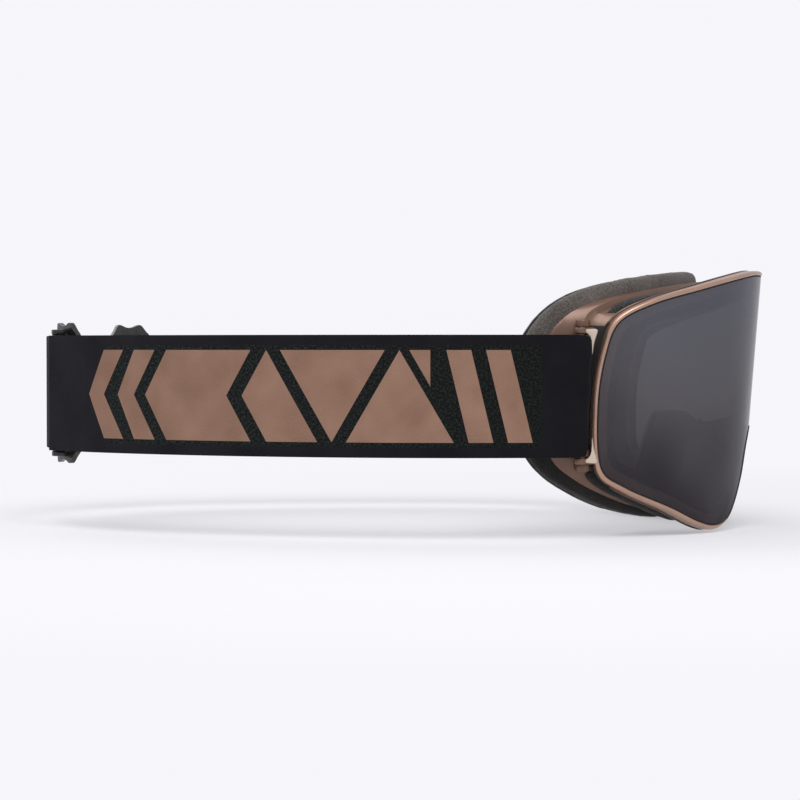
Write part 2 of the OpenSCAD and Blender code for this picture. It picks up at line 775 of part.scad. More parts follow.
// One end plate of a slider: sloping sides and a hollowed top edge, with a post for the bar
module slider_end() {
    base = strap_w / 2 + slider_gap;
    peak = slider_half_l * slider_peak_share;
    dip = slider_end_h * slider_dip_share;
    points = 8;
    translate([slider_plate_r, 0, 0]) rotate([90, 0, 90]) {
        linear_extrude(slider_t) {
            polygon(concat(
                [[-slider_half_l, base], [slider_half_l, base]],
                [for (i = [0:points])
                    let (x = lerp(peak, -peak, i / points))
                    [x, base + slider_end_h - dip * cos(90 * x / peak)]]
            ));
        }
    }
    translate([slider_plate_r, -slider_post_half_w, base]) {
        cube([slider_bar_place + slider_bar_r - slider_plate_r, 2 * slider_post_half_w,
            slider_end_h - dip]);
    }
}

main_frame();
face_foam();
face_fleece();
upper_vent_foam();
lower_vent_foam(right);  // right_lower_vent_foam
lower_vent_foam(left);  // left_lower_vent_foam
frame_magnets();
outrigger(right);  // right_outrigger
outrigger(left);  // left_outrigger
outrigger_pins(right);  // right_outrigger_pins
outrigger_pins(left);  // left_outrigger_pins
lens_carrier();
outer_lens();
inner_lens();
lens_spacer();
lens_gasket();
carrier_magnets();
strap_webbing();
strap_layer(right);  // right_strap_layer
strap_layer(left);  // left_strap_layer
slider(right);  // right_slider
slider(left);  // left_slider
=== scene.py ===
import bpy, math
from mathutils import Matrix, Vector, noise


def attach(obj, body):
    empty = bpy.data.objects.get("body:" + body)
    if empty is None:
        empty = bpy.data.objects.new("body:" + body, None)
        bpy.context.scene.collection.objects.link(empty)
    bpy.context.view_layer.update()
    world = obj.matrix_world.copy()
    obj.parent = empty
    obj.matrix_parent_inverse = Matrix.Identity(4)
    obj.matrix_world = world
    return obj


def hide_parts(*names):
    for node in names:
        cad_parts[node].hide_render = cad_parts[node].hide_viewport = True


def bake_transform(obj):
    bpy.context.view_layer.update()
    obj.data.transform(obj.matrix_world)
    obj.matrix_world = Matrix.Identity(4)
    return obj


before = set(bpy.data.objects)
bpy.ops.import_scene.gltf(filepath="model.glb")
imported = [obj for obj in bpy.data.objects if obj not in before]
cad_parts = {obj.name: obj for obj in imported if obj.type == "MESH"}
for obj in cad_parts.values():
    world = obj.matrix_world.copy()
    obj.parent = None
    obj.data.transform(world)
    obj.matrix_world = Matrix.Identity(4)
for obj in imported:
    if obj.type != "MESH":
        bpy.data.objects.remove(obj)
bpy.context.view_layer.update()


# Studio: a level camera on the wearer's right, a pale floor just under the lens, and soft
# light from all round with one large lamp above.
camera = bpy.data.objects.new("camera", bpy.data.cameras.new("camera"))
bpy.context.scene.collection.objects.link(camera)
camera.location = (0.1073, -1.0999, 0.0202)
camera.rotation_euler = (math.radians(88.76), 0, math.radians(8.54))
camera.data.lens = 111.15
camera.data.sensor_width = 36
camera.data.clip_start = 0.01
bpy.context.scene.camera = camera
bpy.context.scene.view_settings.view_transform = "Standard"


def add(tree, kind, ins=None, **settings):
    """A shader node with its settings and with its inputs set or linked."""
    made = tree.nodes.new("ShaderNode" + kind)
    for key, value in settings.items():
        setattr(made, key, value)
    for key, value in (ins or {}).items():
        if isinstance(value, bpy.types.NodeSocket):
            tree.links.new(value, made.inputs[key])
        else:
            made.inputs[key].default_value = value
    return made


def ramp(tree, value, *stops):
    """A colour ramp on a value, from its stops of place and colour."""
    made = add(tree, "ValToRGB", {"Fac": value})
    band = made.color_ramp.elements
    while len(band) < len(stops):
        band.new(0.5)
    for element, (place, colour) in zip(band, stops):
        element.position = place
        element.color = (*colour, 1) if len(colour) == 3 else colour
    return made.outputs["Color"]


def fresh(name, operator, **settings):
    """The named object that one of Blender's primitive operators adds."""
    bpy.ops.object.select_all(action="DESELECT")
    operator(**settings)
    bpy.context.object.name = name
    return bpy.context.object


PAPER = (0.925, 0.92, 0.955, 1)
world = bpy.data.worlds.new("studio")
bpy.context.scene.world = world
world.use_nodes = True
tree = world.node_tree
tree.nodes.clear()
path = add(tree, "LightPath")
seen = add(tree, "Math", {0: path.outputs["Is Camera Ray"],
                          1: path.outputs["Is Transmission Ray"]}, operation="MAXIMUM")
soft = add(tree, "Background", {"Color": (0.95, 0.95, 1, 1), "Strength": 0.62})
shown = add(tree, "Background", {"Color": PAPER, "Strength": 1.0})
mixed = add(tree, "MixShader", {0: seen.outputs[0], 1: soft.outputs[0], 2: shown.outputs[0]})
add(tree, "OutputWorld", {"Surface": mixed.outputs[0]})


def lamp(name, place, target, watts, size):
    light = bpy.data.lights.new(name, "AREA")
    light.energy, light.size = watts, size
    made = bpy.data.objects.new(name, light)
    bpy.context.scene.collection.objects.link(made)
    made.location = place
    made.rotation_euler = (Vector(target) - Vector(place)).to_track_quat("-Z", "Y").to_euler()


lamp("key_lamp", (0.15, -0.75, 0.95), (0, -0.05, 0), 6.2, 0.7)
lamp("rear_lamp", (-0.7, 0.5, 0.8), (0, 0, 0), 3.4, 0.8)

FLOOR_Z = -0.0588
floor = fresh("floor", bpy.ops.mesh.primitive_circle_add, vertices=96, radius=0.62,
              fill_type="NGON", location=(-0.02, 0, FLOOR_Z))
mat = bpy.data.materials.new("floor_paper")
mat.use_nodes = True
tree = mat.node_tree
tree.nodes.clear()
where = add(tree, "TexCoord")
far = add(tree, "VectorMath", {0: where.outputs["Object"]}, operation="LENGTH")
fade = add(tree, "MapRange", {"Value": far.outputs["Value"], 1: 0.2, 2: 0.6, 3: 0.4},
           interpolation_type="SMOOTHSTEP")
paper = add(tree, "BsdfDiffuse", {"Color": (0.93, 0.925, 0.94, 1)})
clear = add(tree, "BsdfTransparent")
mixed = add(tree, "MixShader", {0: fade.outputs[0], 1: paper.outputs[0], 2: clear.outputs[0]})
add(tree, "OutputMaterial", {"Surface": mixed.outputs[0]})
floor.data.materials.append(mat)


# Lens carrier: the slim polished band that frames the shield, moulded in stiff plastic and
# coated in metallic rose gold. The shield is glued on its ledge.
MM = 0.001
LENS_SHARES = [
    (0, 1), (0.2, 0.997), (0.4, 0.972), (0.6, 0.932), (0.8, 0.88), (0.94, 0.805),
    (0.987, 0.67), (1, 0.48), (0.97, 0.246), (0.862, 0.16), (0.66, 0.08), (0.5, 0.018),
    (0.375, 0), (0.262, 0.05), (0.167, 0.17), (0.099, 0.315), (0, 0.385)]
LENS_ARC, LENS_TOP, LENS_DROP = 115.2, 53, 57.4
LENS_R, LENS_FRONT, LENS_LEAN = 92, 98.9, 4.5
ROWS, FINE = 16, 8
STATIONS = 2 * ROWS * FINE
CARRIER_DEPTH, CARRIER_W = 4.9, 6.7


def outline(shares, half, drop, top):
    """A smooth closed outline through the shares, in flat millimetres, and its outward ways."""
    one = [Vector((s * half, -drop + (top + drop) * h)) for s, h in shares]
    pts = one + [Vector((-p.x, p.y)) for p in reversed(one[1:-1])]
    n = len(pts)
    line = []
    for i in range(n):
        a, b, c, d = (pts[(i + k - 1) % n] for k in range(4))
        for j in range(FINE):
            u = j / FINE
            line.append((2 * b + (c - a) * u + (2 * a - 5 * b + 4 * c - d) * u * u
                         + (3 * b - a - 3 * c + d) * u ** 3) / 2)
    away = []
    for i in range(len(line)):
        d = line[(i + 3) % len(line)] - line[i - 3]
        away.append(Vector((-d.y, d.x)).normalized())
    return line, away


def on_curve(q, axis_x, curve_r, r, lean=0.0):
    a = q.x / curve_r
    return Vector((axis_x + r * math.cos(a) + math.tan(math.radians(lean)) * q.y,
                   r * math.sin(a), q.y))


def mix(a, b, t):
    return a + (b - a) * t


lens_line, lens_away = outline(LENS_SHARES, LENS_ARC, LENS_DROP, LENS_TOP)


def lens_point(k, w, depth):
    k = k % STATIONS
    return on_curve(lens_line[k] + lens_away[k] * w, LENS_FRONT - LENS_R, LENS_R,
                    LENS_R - depth, LENS_LEAN)


def ring(name, sections):
    """A closed ring whose stations are sections of millimetre points."""
    piece = fresh(name, bpy.ops.mesh.primitive_torus_add, major_segments=len(sections),
                  minor_segments=len(sections[0]))
    for vertex, p in zip(piece.data.vertices, (p for s in sections for p in s)):
        vertex.co = Vector(p) * MM
    face_out(piece)
    return piece


def face_out(piece):
    only(piece)
    bpy.ops.object.mode_set(mode="EDIT")
    bpy.ops.mesh.select_all(action="SELECT")
    bpy.ops.mesh.normals_make_consistent(inside=False)
    bpy.ops.object.mode_set(mode="OBJECT")


def only(piece):
    if bpy.context.object and bpy.context.object.mode != "OBJECT":
        bpy.ops.object.mode_set(mode="OBJECT")
    bpy.ops.object.select_all(action="DESELECT")
    piece.select_set(True)
    bpy.context.view_layer.objects.active = piece


def modify(piece, kind, **settings):
    """Adds a modifier with its settings and applies it."""
    only(piece)
    made = piece.modifiers.new(kind.lower(), kind)
    for key, value in settings.items():
        setattr(made, key, value)
    bpy.ops.object.modifier_apply(modifier=made.name)


def round_edges(piece, width, segments, angle):
    modify(piece, "BEVEL", width=width * MM, segments=segments, limit_method="ANGLE",
           angle_limit=math.radians(angle))


def smooth(piece, angle=35):
    only(piece)
    bpy.ops.object.shade_smooth_by_angle(angle=math.radians(angle))


def finish(name):
    """A new material, its node tree, its shader and its object coordinates in millimetres."""
    made = bpy.data.materials.new(name)
    made.use_nodes = True
    tree = made.node_tree
    where = add(tree, "TexCoord")
    grown = add(tree, "VectorMath", {0: where.outputs["Object"], "Scale": 1000},
                operation="SCALE")
    return made, tree, tree.nodes["Principled BSDF"], grown.outputs[0]


def relief(tree, shader, height, depth, strength=1.0):
    bump = add(tree, "Bump", {"Height": height, "Distance": depth * MM, "Strength": strength})
    tree.links.new(bump.outputs[0], shader.inputs["Normal"])


def tint(tree, shader, value, *stops):
    """Colours a shader by a ramp on a value."""
    tree.links.new(ramp(tree, value, *stops), shader.inputs["Base Color"])


def mean(tree, a, b):
    both = add(tree, "Math", {0: a, 1: b}, operation="ADD")
    return add(tree, "Math", {0: both.outputs[0], 1: 0.5}, operation="MULTIPLY").outputs[0]


def constants(shader, values):
    """Fixed values on a shader's own sockets."""
    for key, value in values.items():
        shader.inputs[key].default_value = value


def rose_gold(name, pale, deep, rough, metal):
    """Metallic coat over plastic: fine flakes, and slow variation in colour and gloss."""
    made, tree, shader, mm = finish(name)
    flakes = add(tree, "TexNoise", {"Vector": mm, "Scale": 9.0, "Detail": 3.0})
    clouds = add(tree, "TexNoise", {"Vector": mm, "Scale": 0.06, "Detail": 2.0})
    tint(tree, shader, mean(tree, flakes.outputs["Fac"], clouds.outputs["Fac"]),
         (0.34, deep), (0.66, pale))
    gloss = add(tree, "MapRange", {"Value": flakes.outputs["Fac"], 1: 0.3, 2: 0.7,
                                   3: rough - 0.05, 4: rough + 0.08})
    tree.links.new(gloss.outputs[0], shader.inputs["Roughness"])
    constants(shader, {"Metallic": metal, "Coat Weight": 0.25, "Coat Roughness": 0.15})
    relief(tree, shader, flakes.outputs["Fac"], 0.02, 0.35)
    return made


BAND_END = 3.1
carrier_coat = rose_gold("carrier_coat", (0.6, 0.385, 0.285), (0.47, 0.285, 0.205), 0.26, 0.7)
CARRIER_SECTION = [
    (0, 1.3), (0.05, 0.62), (0.2, 0.22), (0.5, -0.05), (0.9, -0.24), (1.3, -0.33),
    (1.7, -0.3), (2.05, -0.16), (2.3, 0.06), (2.44, 0.3), (2.5, 0.7), (2.5, 2.2),
    (CARRIER_W, 2.2), (CARRIER_W, 4.9),
    (0.3, 4.9), (0.06, 4.8), (0, 4.5)]


def row_of(k):
    """The row of the outline beside a station, the same on both sides of the goggles."""
    return min(k % STATIONS, STATIONS - k % STATIONS) / FINE


def rim_share(k):
    """Share of its width that the band keeps: most of it, but a seventh round the nose."""
    t = min(1, max(0, (row_of(k) - 11.7) / 1.3))
    return 0.8 - 0.66 * t * t * (3 - 2 * t)


def narrowed(k, w):
    return w * rim_share(k) if w <= BAND_END else w


carrier = ring("carrier_rim", [[lens_point(k, -narrowed(k, w), d) for w, d in CARRIER_SECTION]
                               for k in range(STATIONS)])
smooth(carrier, 40)
carrier.data.materials.append(carrier_coat)
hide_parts("lens_carrier")
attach(carrier, "lens_unit")


# Gasket: the thin matt black seal pressed in between the carrier's band and the shield. The
# carrier's nose arch is left black to match.
NOSE_ROW = 12.7
GASKET_SECTION = [(2.52, 0.1), (2.6, -0.02), (2.9, -0.02), (3, 0.1), (3, 1.9), (2.52, 1.9)]
gasket = ring("lens_seal", [[lens_point(k, -narrowed(k, w), d) for w, d in GASKET_SECTION]
                            for k in range(STATIONS)])
smooth(gasket, 50)
seal_rubber, tree, shader, mm = finish("seal_rubber")
grain = add(tree, "TexNoise", {"Vector": mm, "Scale": 3.0, "Detail": 4.0})
tint(tree, shader, grain.outputs["Fac"], (0.3, (0.006, 0.006, 0.007)),
     (0.7, (0.014, 0.013, 0.015)))
shader.inputs["Roughness"].default_value = 0.62
relief(tree, shader, grain.outputs["Fac"], 0.03, 0.5)
gasket.data.materials.append(seal_rubber)
carrier.data.materials.append(seal_rubber)
for face in carrier.data.polygons:
    stations = [v // len(CARRIER_SECTION) for v in face.vertices]
    if all(row_of(k) >= NOSE_ROW for k in stations):
        face.material_index = 1
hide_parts("lens_gasket")
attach(gasket, "lens_unit")


# Shield: smoke-tinted polycarbonate, cut from a cylinder and hard coated. Behind it a clear
# anti-fog sheet is held off by a foam spacer.
def height_at(line, s):
    for a, b in zip(line, line[1:]):
        if a.x <= s <= b.x:
            return mix(a.y, b.y, (s - a.x) / max(b.x - a.x, 1e-9))
    return line[-1].y


def shield(name, inset, depth, thick, columns=200, high=24):
    edge = [lens_line[k] - lens_away[k] * narrowed(k, inset) for k in range(STATIONS)]
    tip = max(range(STATIONS), key=lambda k: edge[k].x)
    upper = edge[:tip + 1]
    lower = [edge[k] for k in range(ROWS * FINE, tip - 1, -1)]
    half = edge[tip].x * 0.9996    # just short of the tip, where the two edges meet
    piece = fresh(name, bpy.ops.mesh.primitive_grid_add, x_subdivisions=columns,
                  y_subdivisions=high, size=2)
    for vertex in piece.data.vertices:
        s = half * math.sin(math.pi / 2 * vertex.co.x)
        z = mix(height_at(lower, abs(s)), height_at(upper, abs(s)), vertex.co.y / 2 + 0.5)
        vertex.co = on_curve(Vector((s, z)), LENS_FRONT - LENS_R, LENS_R, LENS_R - depth,
                             LENS_LEAN) * MM
    only(piece)
    middle = piece.data.polygons[len(piece.data.polygons) // 2]
    if middle.normal.x < 0:
        piece.data.flip_normals()
    modify(piece, "SOLIDIFY", thickness=thick * MM, offset=-1)
    smooth(piece, 40)
    return piece


outer = shield("shield_lens", 3.06, 0.0, 1.9)
smoke, tree, shader, mm = finish("smoke_polycarbonate")
# Painted reflection: the smoke colour is lighter and bluer towards the top and darker towards the
# bottom, for the bright surroundings above mirrored in the shield; a slow noise shifts it.
parts = add(tree, "SeparateXYZ", {"Vector": mm})
rise = add(tree, "MapRange", {"Value": parts.outputs["Z"], 1: -58.0, 2: 54.0})
haze = add(tree, "TexNoise", {"Vector": mm, "Scale": 0.02, "Detail": 1.0})
place = add(tree, "Math", {0: rise.outputs[0], 1: haze.outputs["Fac"]}, operation="ADD")
place = add(tree, "Math", {0: place.outputs[0], 1: -0.5}, operation="ADD")
tint(tree, shader, place.outputs[0], (0.0, (0.042, 0.036, 0.043)),
     (0.5, (0.13, 0.124, 0.137)), (1.0, (0.15, 0.15, 0.178)))
slant = add(tree, "LayerWeight", {"Blend": 0.5})
tree.links.new(ramp(tree, slant.outputs["Facing"], (0.0, (0.56, 0.56, 0.56)),
                    (0.5, (0.63, 0.63, 0.63)), (0.85, (0.9, 0.9, 0.9)),
                    (1.0, (0.97, 0.97, 0.97))), shader.inputs["Alpha"])
constants(shader, {"Roughness": 0.09, "IOR": 1.3, "Specular IOR Level": 0.26})
outer.data.materials.append(smoke)
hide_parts("outer_lens")
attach(outer, "lens_unit")

inner = shield("anti_fog_sheet", 7.6, 4.6, 1.1)
clear_sheet, tree, shader, mm = finish("anti_fog_sheet")
film = add(tree, "TexNoise", {"Vector": mm, "Scale": 0.03, "Detail": 2.0})
tint(tree, shader, film.outputs["Fac"], (0.3, (0.16, 0.16, 0.17)), (0.7, (0.2, 0.2, 0.215)))
constants(shader, {"Alpha": 0.12, "Roughness": 0.1, "IOR": 1.45, "Specular IOR Level": 0.15})
inner.data.materials.append(clear_sheet)
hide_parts("inner_lens")
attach(inner, "lens_unit")

SPACER_SECTION = [(7.6, 2.2), (7.6, 4.3), (10.2, 4.3), (10.35, 3.8), (10.35, 2.7), (10.2, 2.2)]
spacer = ring("lens_spacer_foam", [[lens_point(k, -w, d) for w, d in SPACER_SECTION]
                                   for k in range(STATIONS)])
smooth(spacer, 50)
spacer_foam, tree, shader, mm = finish("spacer_foam")
cells = add(tree, "TexVoronoi", {"Vector": mm, "Scale": 2.2})
tint(tree, shader, cells.outputs["Distance"], (0.0, (0.008, 0.008, 0.009)),
     (0.6, (0.03, 0.03, 0.032)))
shader.inputs["Roughness"].default_value = 0.85
relief(tree, shader, cells.outputs["Distance"], 0.15, 0.8)
spacer.data.materials.append(spacer_foam)
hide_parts("lens_spacer")
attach(spacer, "lens_unit")


# Magnets: nickel-plated discs pressed into the carrier and the frame, facing each other.
nickel, tree, shader, mm = finish("nickel_plate")
plating = add(tree, "TexNoise", {"Vector": mm, "Scale": 2.5, "Detail": 5.0})
tint(tree, shader, plating.outputs["Fac"], (0.3, (0.5, 0.5, 0.5)), (0.7, (0.62, 0.61, 0.6)))
shader.inputs["Metallic"].default_value = 1.0
gloss = add(tree, "MapRange", {"Value": plating.outputs["Fac"], 3: 0.16, 4: 0.34})
tree.links.new(gloss.outputs[0], shader.inputs["Roughness"])
MAGNET_ROWS, MAGNET_INSET, MAGNET_R, MAGNET_T = (2.4, 4.4, 12), 4.1, 1.7, 1.5
MAGNET_GAP = 0.6


def joined(name, pieces):
    bpy.ops.object.select_all(action="DESELECT")
    for piece in pieces:
        piece.select_set(True)
    bpy.context.view_layer.objects.active = pieces[0]
    if len(pieces) > 1:
        bpy.ops.object.join()
    bpy.context.object.name = name
    return bpy.context.object


def disc(k, depth):
    """A bevelled disc let into the seat at a station, square to the lens's curve."""
    made = fresh("disc", bpy.ops.mesh.primitive_cylinder_add, vertices=32,
                 radius=MAGNET_R * MM, depth=MAGNET_T * MM)
    round_edges(made, 0.12, 2, 60)
    at = lens_point(k, -MAGNET_INSET, depth + MAGNET_T / 2)
    away = (lens_point(k, -MAGNET_INSET, 0) - lens_point(k, -MAGNET_INSET, 10)).normalized()
    turn = away.to_track_quat("Z", "Y")
    for vertex in made.data.vertices:
        vertex.co = turn @ vertex.co + at * MM
    return made


for name, piece_name, body, depth in (
        ("carrier_magnets", "carrier_magnet_discs", "lens_unit", CARRIER_DEPTH - MAGNET_T),
        ("frame_magnets", "frame_magnet_discs", "frame", CARRIER_DEPTH + MAGNET_GAP)):
    discs = []
    for row in MAGNET_ROWS:
        for k in (round(row * FINE), STATIONS - round(row * FINE)):
            discs.append(disc(k, depth))
    magnets = joined(piece_name, discs)
    smooth(magnets, 35)
    magnets.data.materials.append(nickel)
    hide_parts(name)
    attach(magnets, body)


# Face frame: one flexible moulding in satin rose gold. It runs from the lens seat over a
# recessed, vented waist to the flange that the foam is glued to.
FLANGE_SHARES = [
    (0, 1), (0.2, 0.995), (0.4, 0.982), (0.6, 0.957), (0.78, 0.919), (0.92, 0.846),
    (0.99, 0.731), (1, 0.51), (0.985, 0.27), (0.893, 0.158), (0.72, 0.062), (0.56, 0.015),
    (0.42, 0), (0.314, 0.044), (0.229, 0.152), (0.124, 0.272), (0, 0.318)]
FOAM_SHARES = [
    (0, 1), (0.2, 0.995), (0.4, 0.979), (0.6, 0.952), (0.78, 0.9), (0.9, 0.806),
    (0.975, 0.67), (1, 0.503), (0.96, 0.302), (0.87, 0.166), (0.71, 0.065), (0.56, 0.014),
    (0.42, 0), (0.315, 0.05), (0.23, 0.161), (0.125, 0.282), (0, 0.322)]
flange_line, flange_away = outline(FLANGE_SHARES, 111, 49.4, 47.5)
foam_line, foam_away = outline(FOAM_SHARES, 105, 49, 49.4)
FLANGE_X, FLANGE_R, FACE_X, FACE_R = -15, 90, -33.4, 88.4
WAIST, WALL, SEAT_GAP = 2.6, 2.2, 0.3


def body_point(k, t, w, sink=0):
    """t is 0 at the lens seat, 1 at the flange and 2 at the face; w is the way outwards."""
    k = k % STATIONS
    flange = on_curve(flange_line[k] + flange_away[k] * w, FLANGE_X, FLANGE_R, FLANGE_R - sink)
    if t <= 1:
        return mix(lens_point(k, w, CARRIER_DEPTH + SEAT_GAP + sink), flange, t)
    foam = on_curve(foam_line[k] + foam_away[k] * w, FACE_X, FACE_R, FACE_R)
    return mix(flange, foam, t - 1)


def table(places, value):
    """A value read between the rows of a table."""
    if value <= places[0][0]:
        return places[0][1]
    for (a, x), (b, y) in zip(places, places[1:]):
        if value <= b:
            return mix(x, y, (value - a) / (b - a))
    return places[-1][1]


# How far the strap's recess at the temple narrows the waist, by row, and each vent's first and
# last row with its front and rear edges as shares of the way from lens seat to flange.
BAND_SHARES = [(3.9, 0), (4.7, 0.2), (5.5, 0.8), (6, 1), (7.8, 1), (8.3, 0.5), (9, 0.15), (10, 0)]
BAND_CUT, BAND_SINK = 0.4, 1.5
VENTS = [(0.08, 2.02, 0.17, 0.69), (2.18, 4.6, 0.17, 0.69), (8.4, 11.3, 0.17, 0.66)]


def nose_width(k):
    return mix(1, 0.62, min(1, max(0, (row_of(k) - 9.5) / 2.5)))


def vent_edges(k):
    """The front and rear shares of the vent at a station, and whether it is open there."""
    row = row_of(k)
    band = BAND_CUT * table(BAND_SHARES, row)
    for first, last, front, rear in VENTS:
        rear -= band
        middle = (front + rear) / 2
        # The ends that meet a rib of the brow stay square, and all others are rounded.
        ends = [row - first if first > 2.18 else 9, last - row if last > 2.02 else 9]
        if first - 0.5 <= row <= last + 0.5:
            grow = mix(0.12, 1, math.sqrt(min(1, max(0, min(ends)))))
            inside = first - 1e-6 <= row <= last + 1e-6
            return middle - (middle - front) * grow, middle + (rear - middle) * grow, inside
    rear = 0.6 - band
    return 0.3 - band / 2, rear - 0.05, False


def frame_section(k):
    """Over the waist to the flange, and back along the inside."""
    f, r, _ = vent_edges(k)
    share = table(BAND_SHARES, row_of(k))
    band, sink = BAND_CUT * share, BAND_SINK * share
    deep = -WAIST
    inner = deep - WALL
    lip = SEAT_GAP - CARRIER_W
    flange_w = -11 * nose_width(k)
    shape = [
        (0, 0.1), (0.012, 0.35), (0.03, 0.4), (0.042, 0.2), (0.05, -0.55), (0.075, -0.75),
        (0.11, -1.9), (min(f, 0.15), deep + 0.15), (f, deep), (r, deep), (0.7 - band, deep),
        (0.735 - band, -0.4), (0.75 - band, -0.12), (0.92, 0.1), (0.975, 0.12), (1, -0.15),
        (1, flange_w + 0.3), (0.985, flange_w), (0.92, flange_w), (0.85 - band, inner, sink),
        (r, inner, sink), (f, inner, sink), (0.15, inner, sink), (0.15, lip), (0, lip)]
    return [body_point(k, *p) for p in shape]


shell = ring("frame_shell", [frame_section(k) for k in range(STATIONS)])
SECTION = len(frame_section(0))
# Where these begin or end among a section's points.
VENT_OUTSIDE, RECESS_END, FLANGE_BACK, VENT_INSIDE = 8, 11, 18, 20
# Rows of the temple recess, and the first row under the nose, where the frame is painted shade.
RECESS_ROWS, UNDER_ROW = (5.1, 8.2), 10.9
runs = []
for k in range(STATIONS):
    if vent_edges(k)[2] and vent_edges(k + 1)[2]:
        if vent_edges(k - 1)[2] and runs and runs[-1][-1] == k - 1:
            runs[-1].append(k)
        else:
            runs.append([k])
only(shell)
bpy.ops.object.mode_set(mode="EDIT")
bpy.ops.mesh.select_mode(type="FACE")
bpy.ops.object.mode_set(mode="OBJECT")


def between(mesh, run, low):
    """The faces of a ring between two neighbouring section points, over a run of stations."""
    wanted = {(k + i) % STATIONS * SECTION + low + j
              for k in run for i in (0, 1) for j in (0, 1)}
    return [f for f in mesh.polygons if set(f.vertices) <= wanted]


for run in runs:
    only(shell)
    bpy.ops.object.mode_set(mode="EDIT")
    bpy.ops.mesh.select_all(action="DESELECT")
    bpy.ops.object.mode_set(mode="OBJECT")
    for low in (VENT_OUTSIDE, VENT_INSIDE):
        for f in between(shell.data, run, low):
            f.select = True
    bpy.ops.object.mode_set(mode="EDIT")
    bpy.ops.mesh.bridge_edge_loops()
    bpy.ops.object.mode_set(mode="OBJECT")
face_out(shell)
smooth(shell, 38)
# The frame's rose gold is about a third as bright as the carrier's: partly its satin finish,
# partly painted shade.
frame_coat = rose_gold("frame_coat", (0.215, 0.121, 0.083), (0.155, 0.084, 0.056), 0.34, 0.4)
shell.data.materials.append(frame_coat)
black_back_and_painted_shade, tree, shader, mm = finish("black_back_and_painted_shade")
grain = add(tree, "TexNoise", {"Vector": mm, "Scale": 4.0, "Detail": 4.0})
tint(tree, shader, grain.outputs["Fac"], (0.3, (0.007, 0.0065, 0.007)),
     (0.7, (0.013, 0.012, 0.013)))
shader.inputs["Roughness"].default_value = 0.7
relief(tree, shader, grain.outputs["Fac"], 0.03, 0.6)
shell.data.materials.append(black_back_and_painted_shade)
# Painted shade: the strap's recess at each temple and the frame under the nose are black for the
# shade there; the back of the flange is black too.
for face in shell.data.polygons:
    rows = [v // SECTION for v in face.vertices]
    points = [v % SECTION for v in face.vertices]
    recess = (all(RECESS_ROWS[0] <= row_of(k) <= RECESS_ROWS[1] for k in rows)
              and all(j <= RECESS_END for j in points))
    inside = all(j >= FLANGE_BACK or j == 0 for j in points)
    under = all(row_of(k) >= UNDER_ROW for k in rows) and all(j < FLANGE_BACK for j in points)
    if recess or inside or under:
        face.material_index = 1
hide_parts("main_frame")
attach(shell, "frame")


# Vent filters: coarse open-cell foam strips, glued behind the vents in brow and cheeks.
def foam_finish(name, pale, deep, size, depth, sheen, painted_shade):
    """Open-cell foam: walls round dark pores of two sizes, over slow patches. The last argument
    paints shade, darker towards the bottom: from its second height down to its first, the
    colour falls to the share that is its third value."""
    made, tree, shader, mm = finish(name)
    large = add(tree, "TexVoronoi", {"Vector": mm, "Scale": 1 / size, "Randomness": 1.0},
                feature="SMOOTH_F1")
    small = add(tree, "TexNoise", {"Vector": mm, "Scale": 2.4 / size, "Detail": 3.0})
    patch = add(tree, "TexNoise", {"Vector": mm, "Scale": 0.09, "Detail": 3.0})
    pores = add(tree, "Math", {0: large.outputs["Distance"], 1: small.outputs["Fac"]},
                operation="MULTIPLY")
    soft_patch = add(tree, "MapRange", {"Value": patch.outputs["Fac"], 3: 0.42, 4: 0.58})
    tone = add(tree, "Math", {0: pores.outputs[0], 1: soft_patch.outputs[0]}, operation="ADD")
    colour = ramp(tree, tone.outputs[0], (0.55, deep), (0.98, pale))
    parts = add(tree, "SeparateXYZ", {"Vector": mm})
    # Painted shade: the colour is scaled down towards the bottom by height.
    level = add(tree, "MapRange", {"Value": parts.outputs["Z"], 1: painted_shade[0], 2: painted_shade[1],
                                   3: painted_shade[2], 4: 1.0}, interpolation_type="SMOOTHSTEP")
    colour = add(tree, "VectorMath", {0: colour, "Scale": level.outputs[0]}, operation="SCALE")
    tree.links.new(colour.outputs[0], shader.inputs["Base Color"])
    constants(shader, {"Roughness": 0.95, "Sheen Weight": sheen, "Sheen Roughness": 0.5})
    relief(tree, shader, pores.outputs[0], depth, 1.0)
    return made


# The filter foam gets painted shade, darker towards the bottom.
filter_foam = foam_finish("filter_foam", (0.075, 0.074, 0.074), (0.012, 0.012, 0.012), 0.8, 0.5,
                          0.1, painted_shade=(-35, 20, 0.3))
VENT_FOAM_T = 1.6
noise.seed_set(1)    # without it noise_vector starts from the clock


def filter_strip(name, node, runs):
    strips = []
    for run in runs:
        strip = fresh("strip", bpy.ops.mesh.primitive_grid_add, x_subdivisions=len(run),
                      y_subdivisions=10, size=2)
        for vertex in strip.data.vertices:
            at = (vertex.co.x / 2 + 0.5) * len(run)
            k = run[0] + int(round(at))
            f, r, _ = vent_edges(k)
            f, r = f + 0.012, r - 0.012
            t = mix(f, r, vertex.co.y / 2 + 0.5)
            crown = 2.3 * (1 - vertex.co.y ** 4) * math.sqrt(max(0.02, 1 - vertex.co.x ** 6))
            p = body_point(k, t, -WAIST - 0.45 + crown)
            p += Vector(noise.noise_vector(p * 0.9)) * 0.12
            vertex.co = p * MM
        inward = strip.data.polygons[len(strip.data.polygons) // 2]
        middle = Vector((20, 0, 0)) * MM
        if inward.normal.dot(inward.center - middle) < 0:
            strip.data.flip_normals()
        modify(strip, "SOLIDIFY", thickness=VENT_FOAM_T * MM, offset=-1)
        strips.append(strip)
    piece = joined(name, strips)
    smooth(piece, 45)
    piece.data.materials.append(filter_foam)
    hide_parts(node)
    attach(piece, "frame")


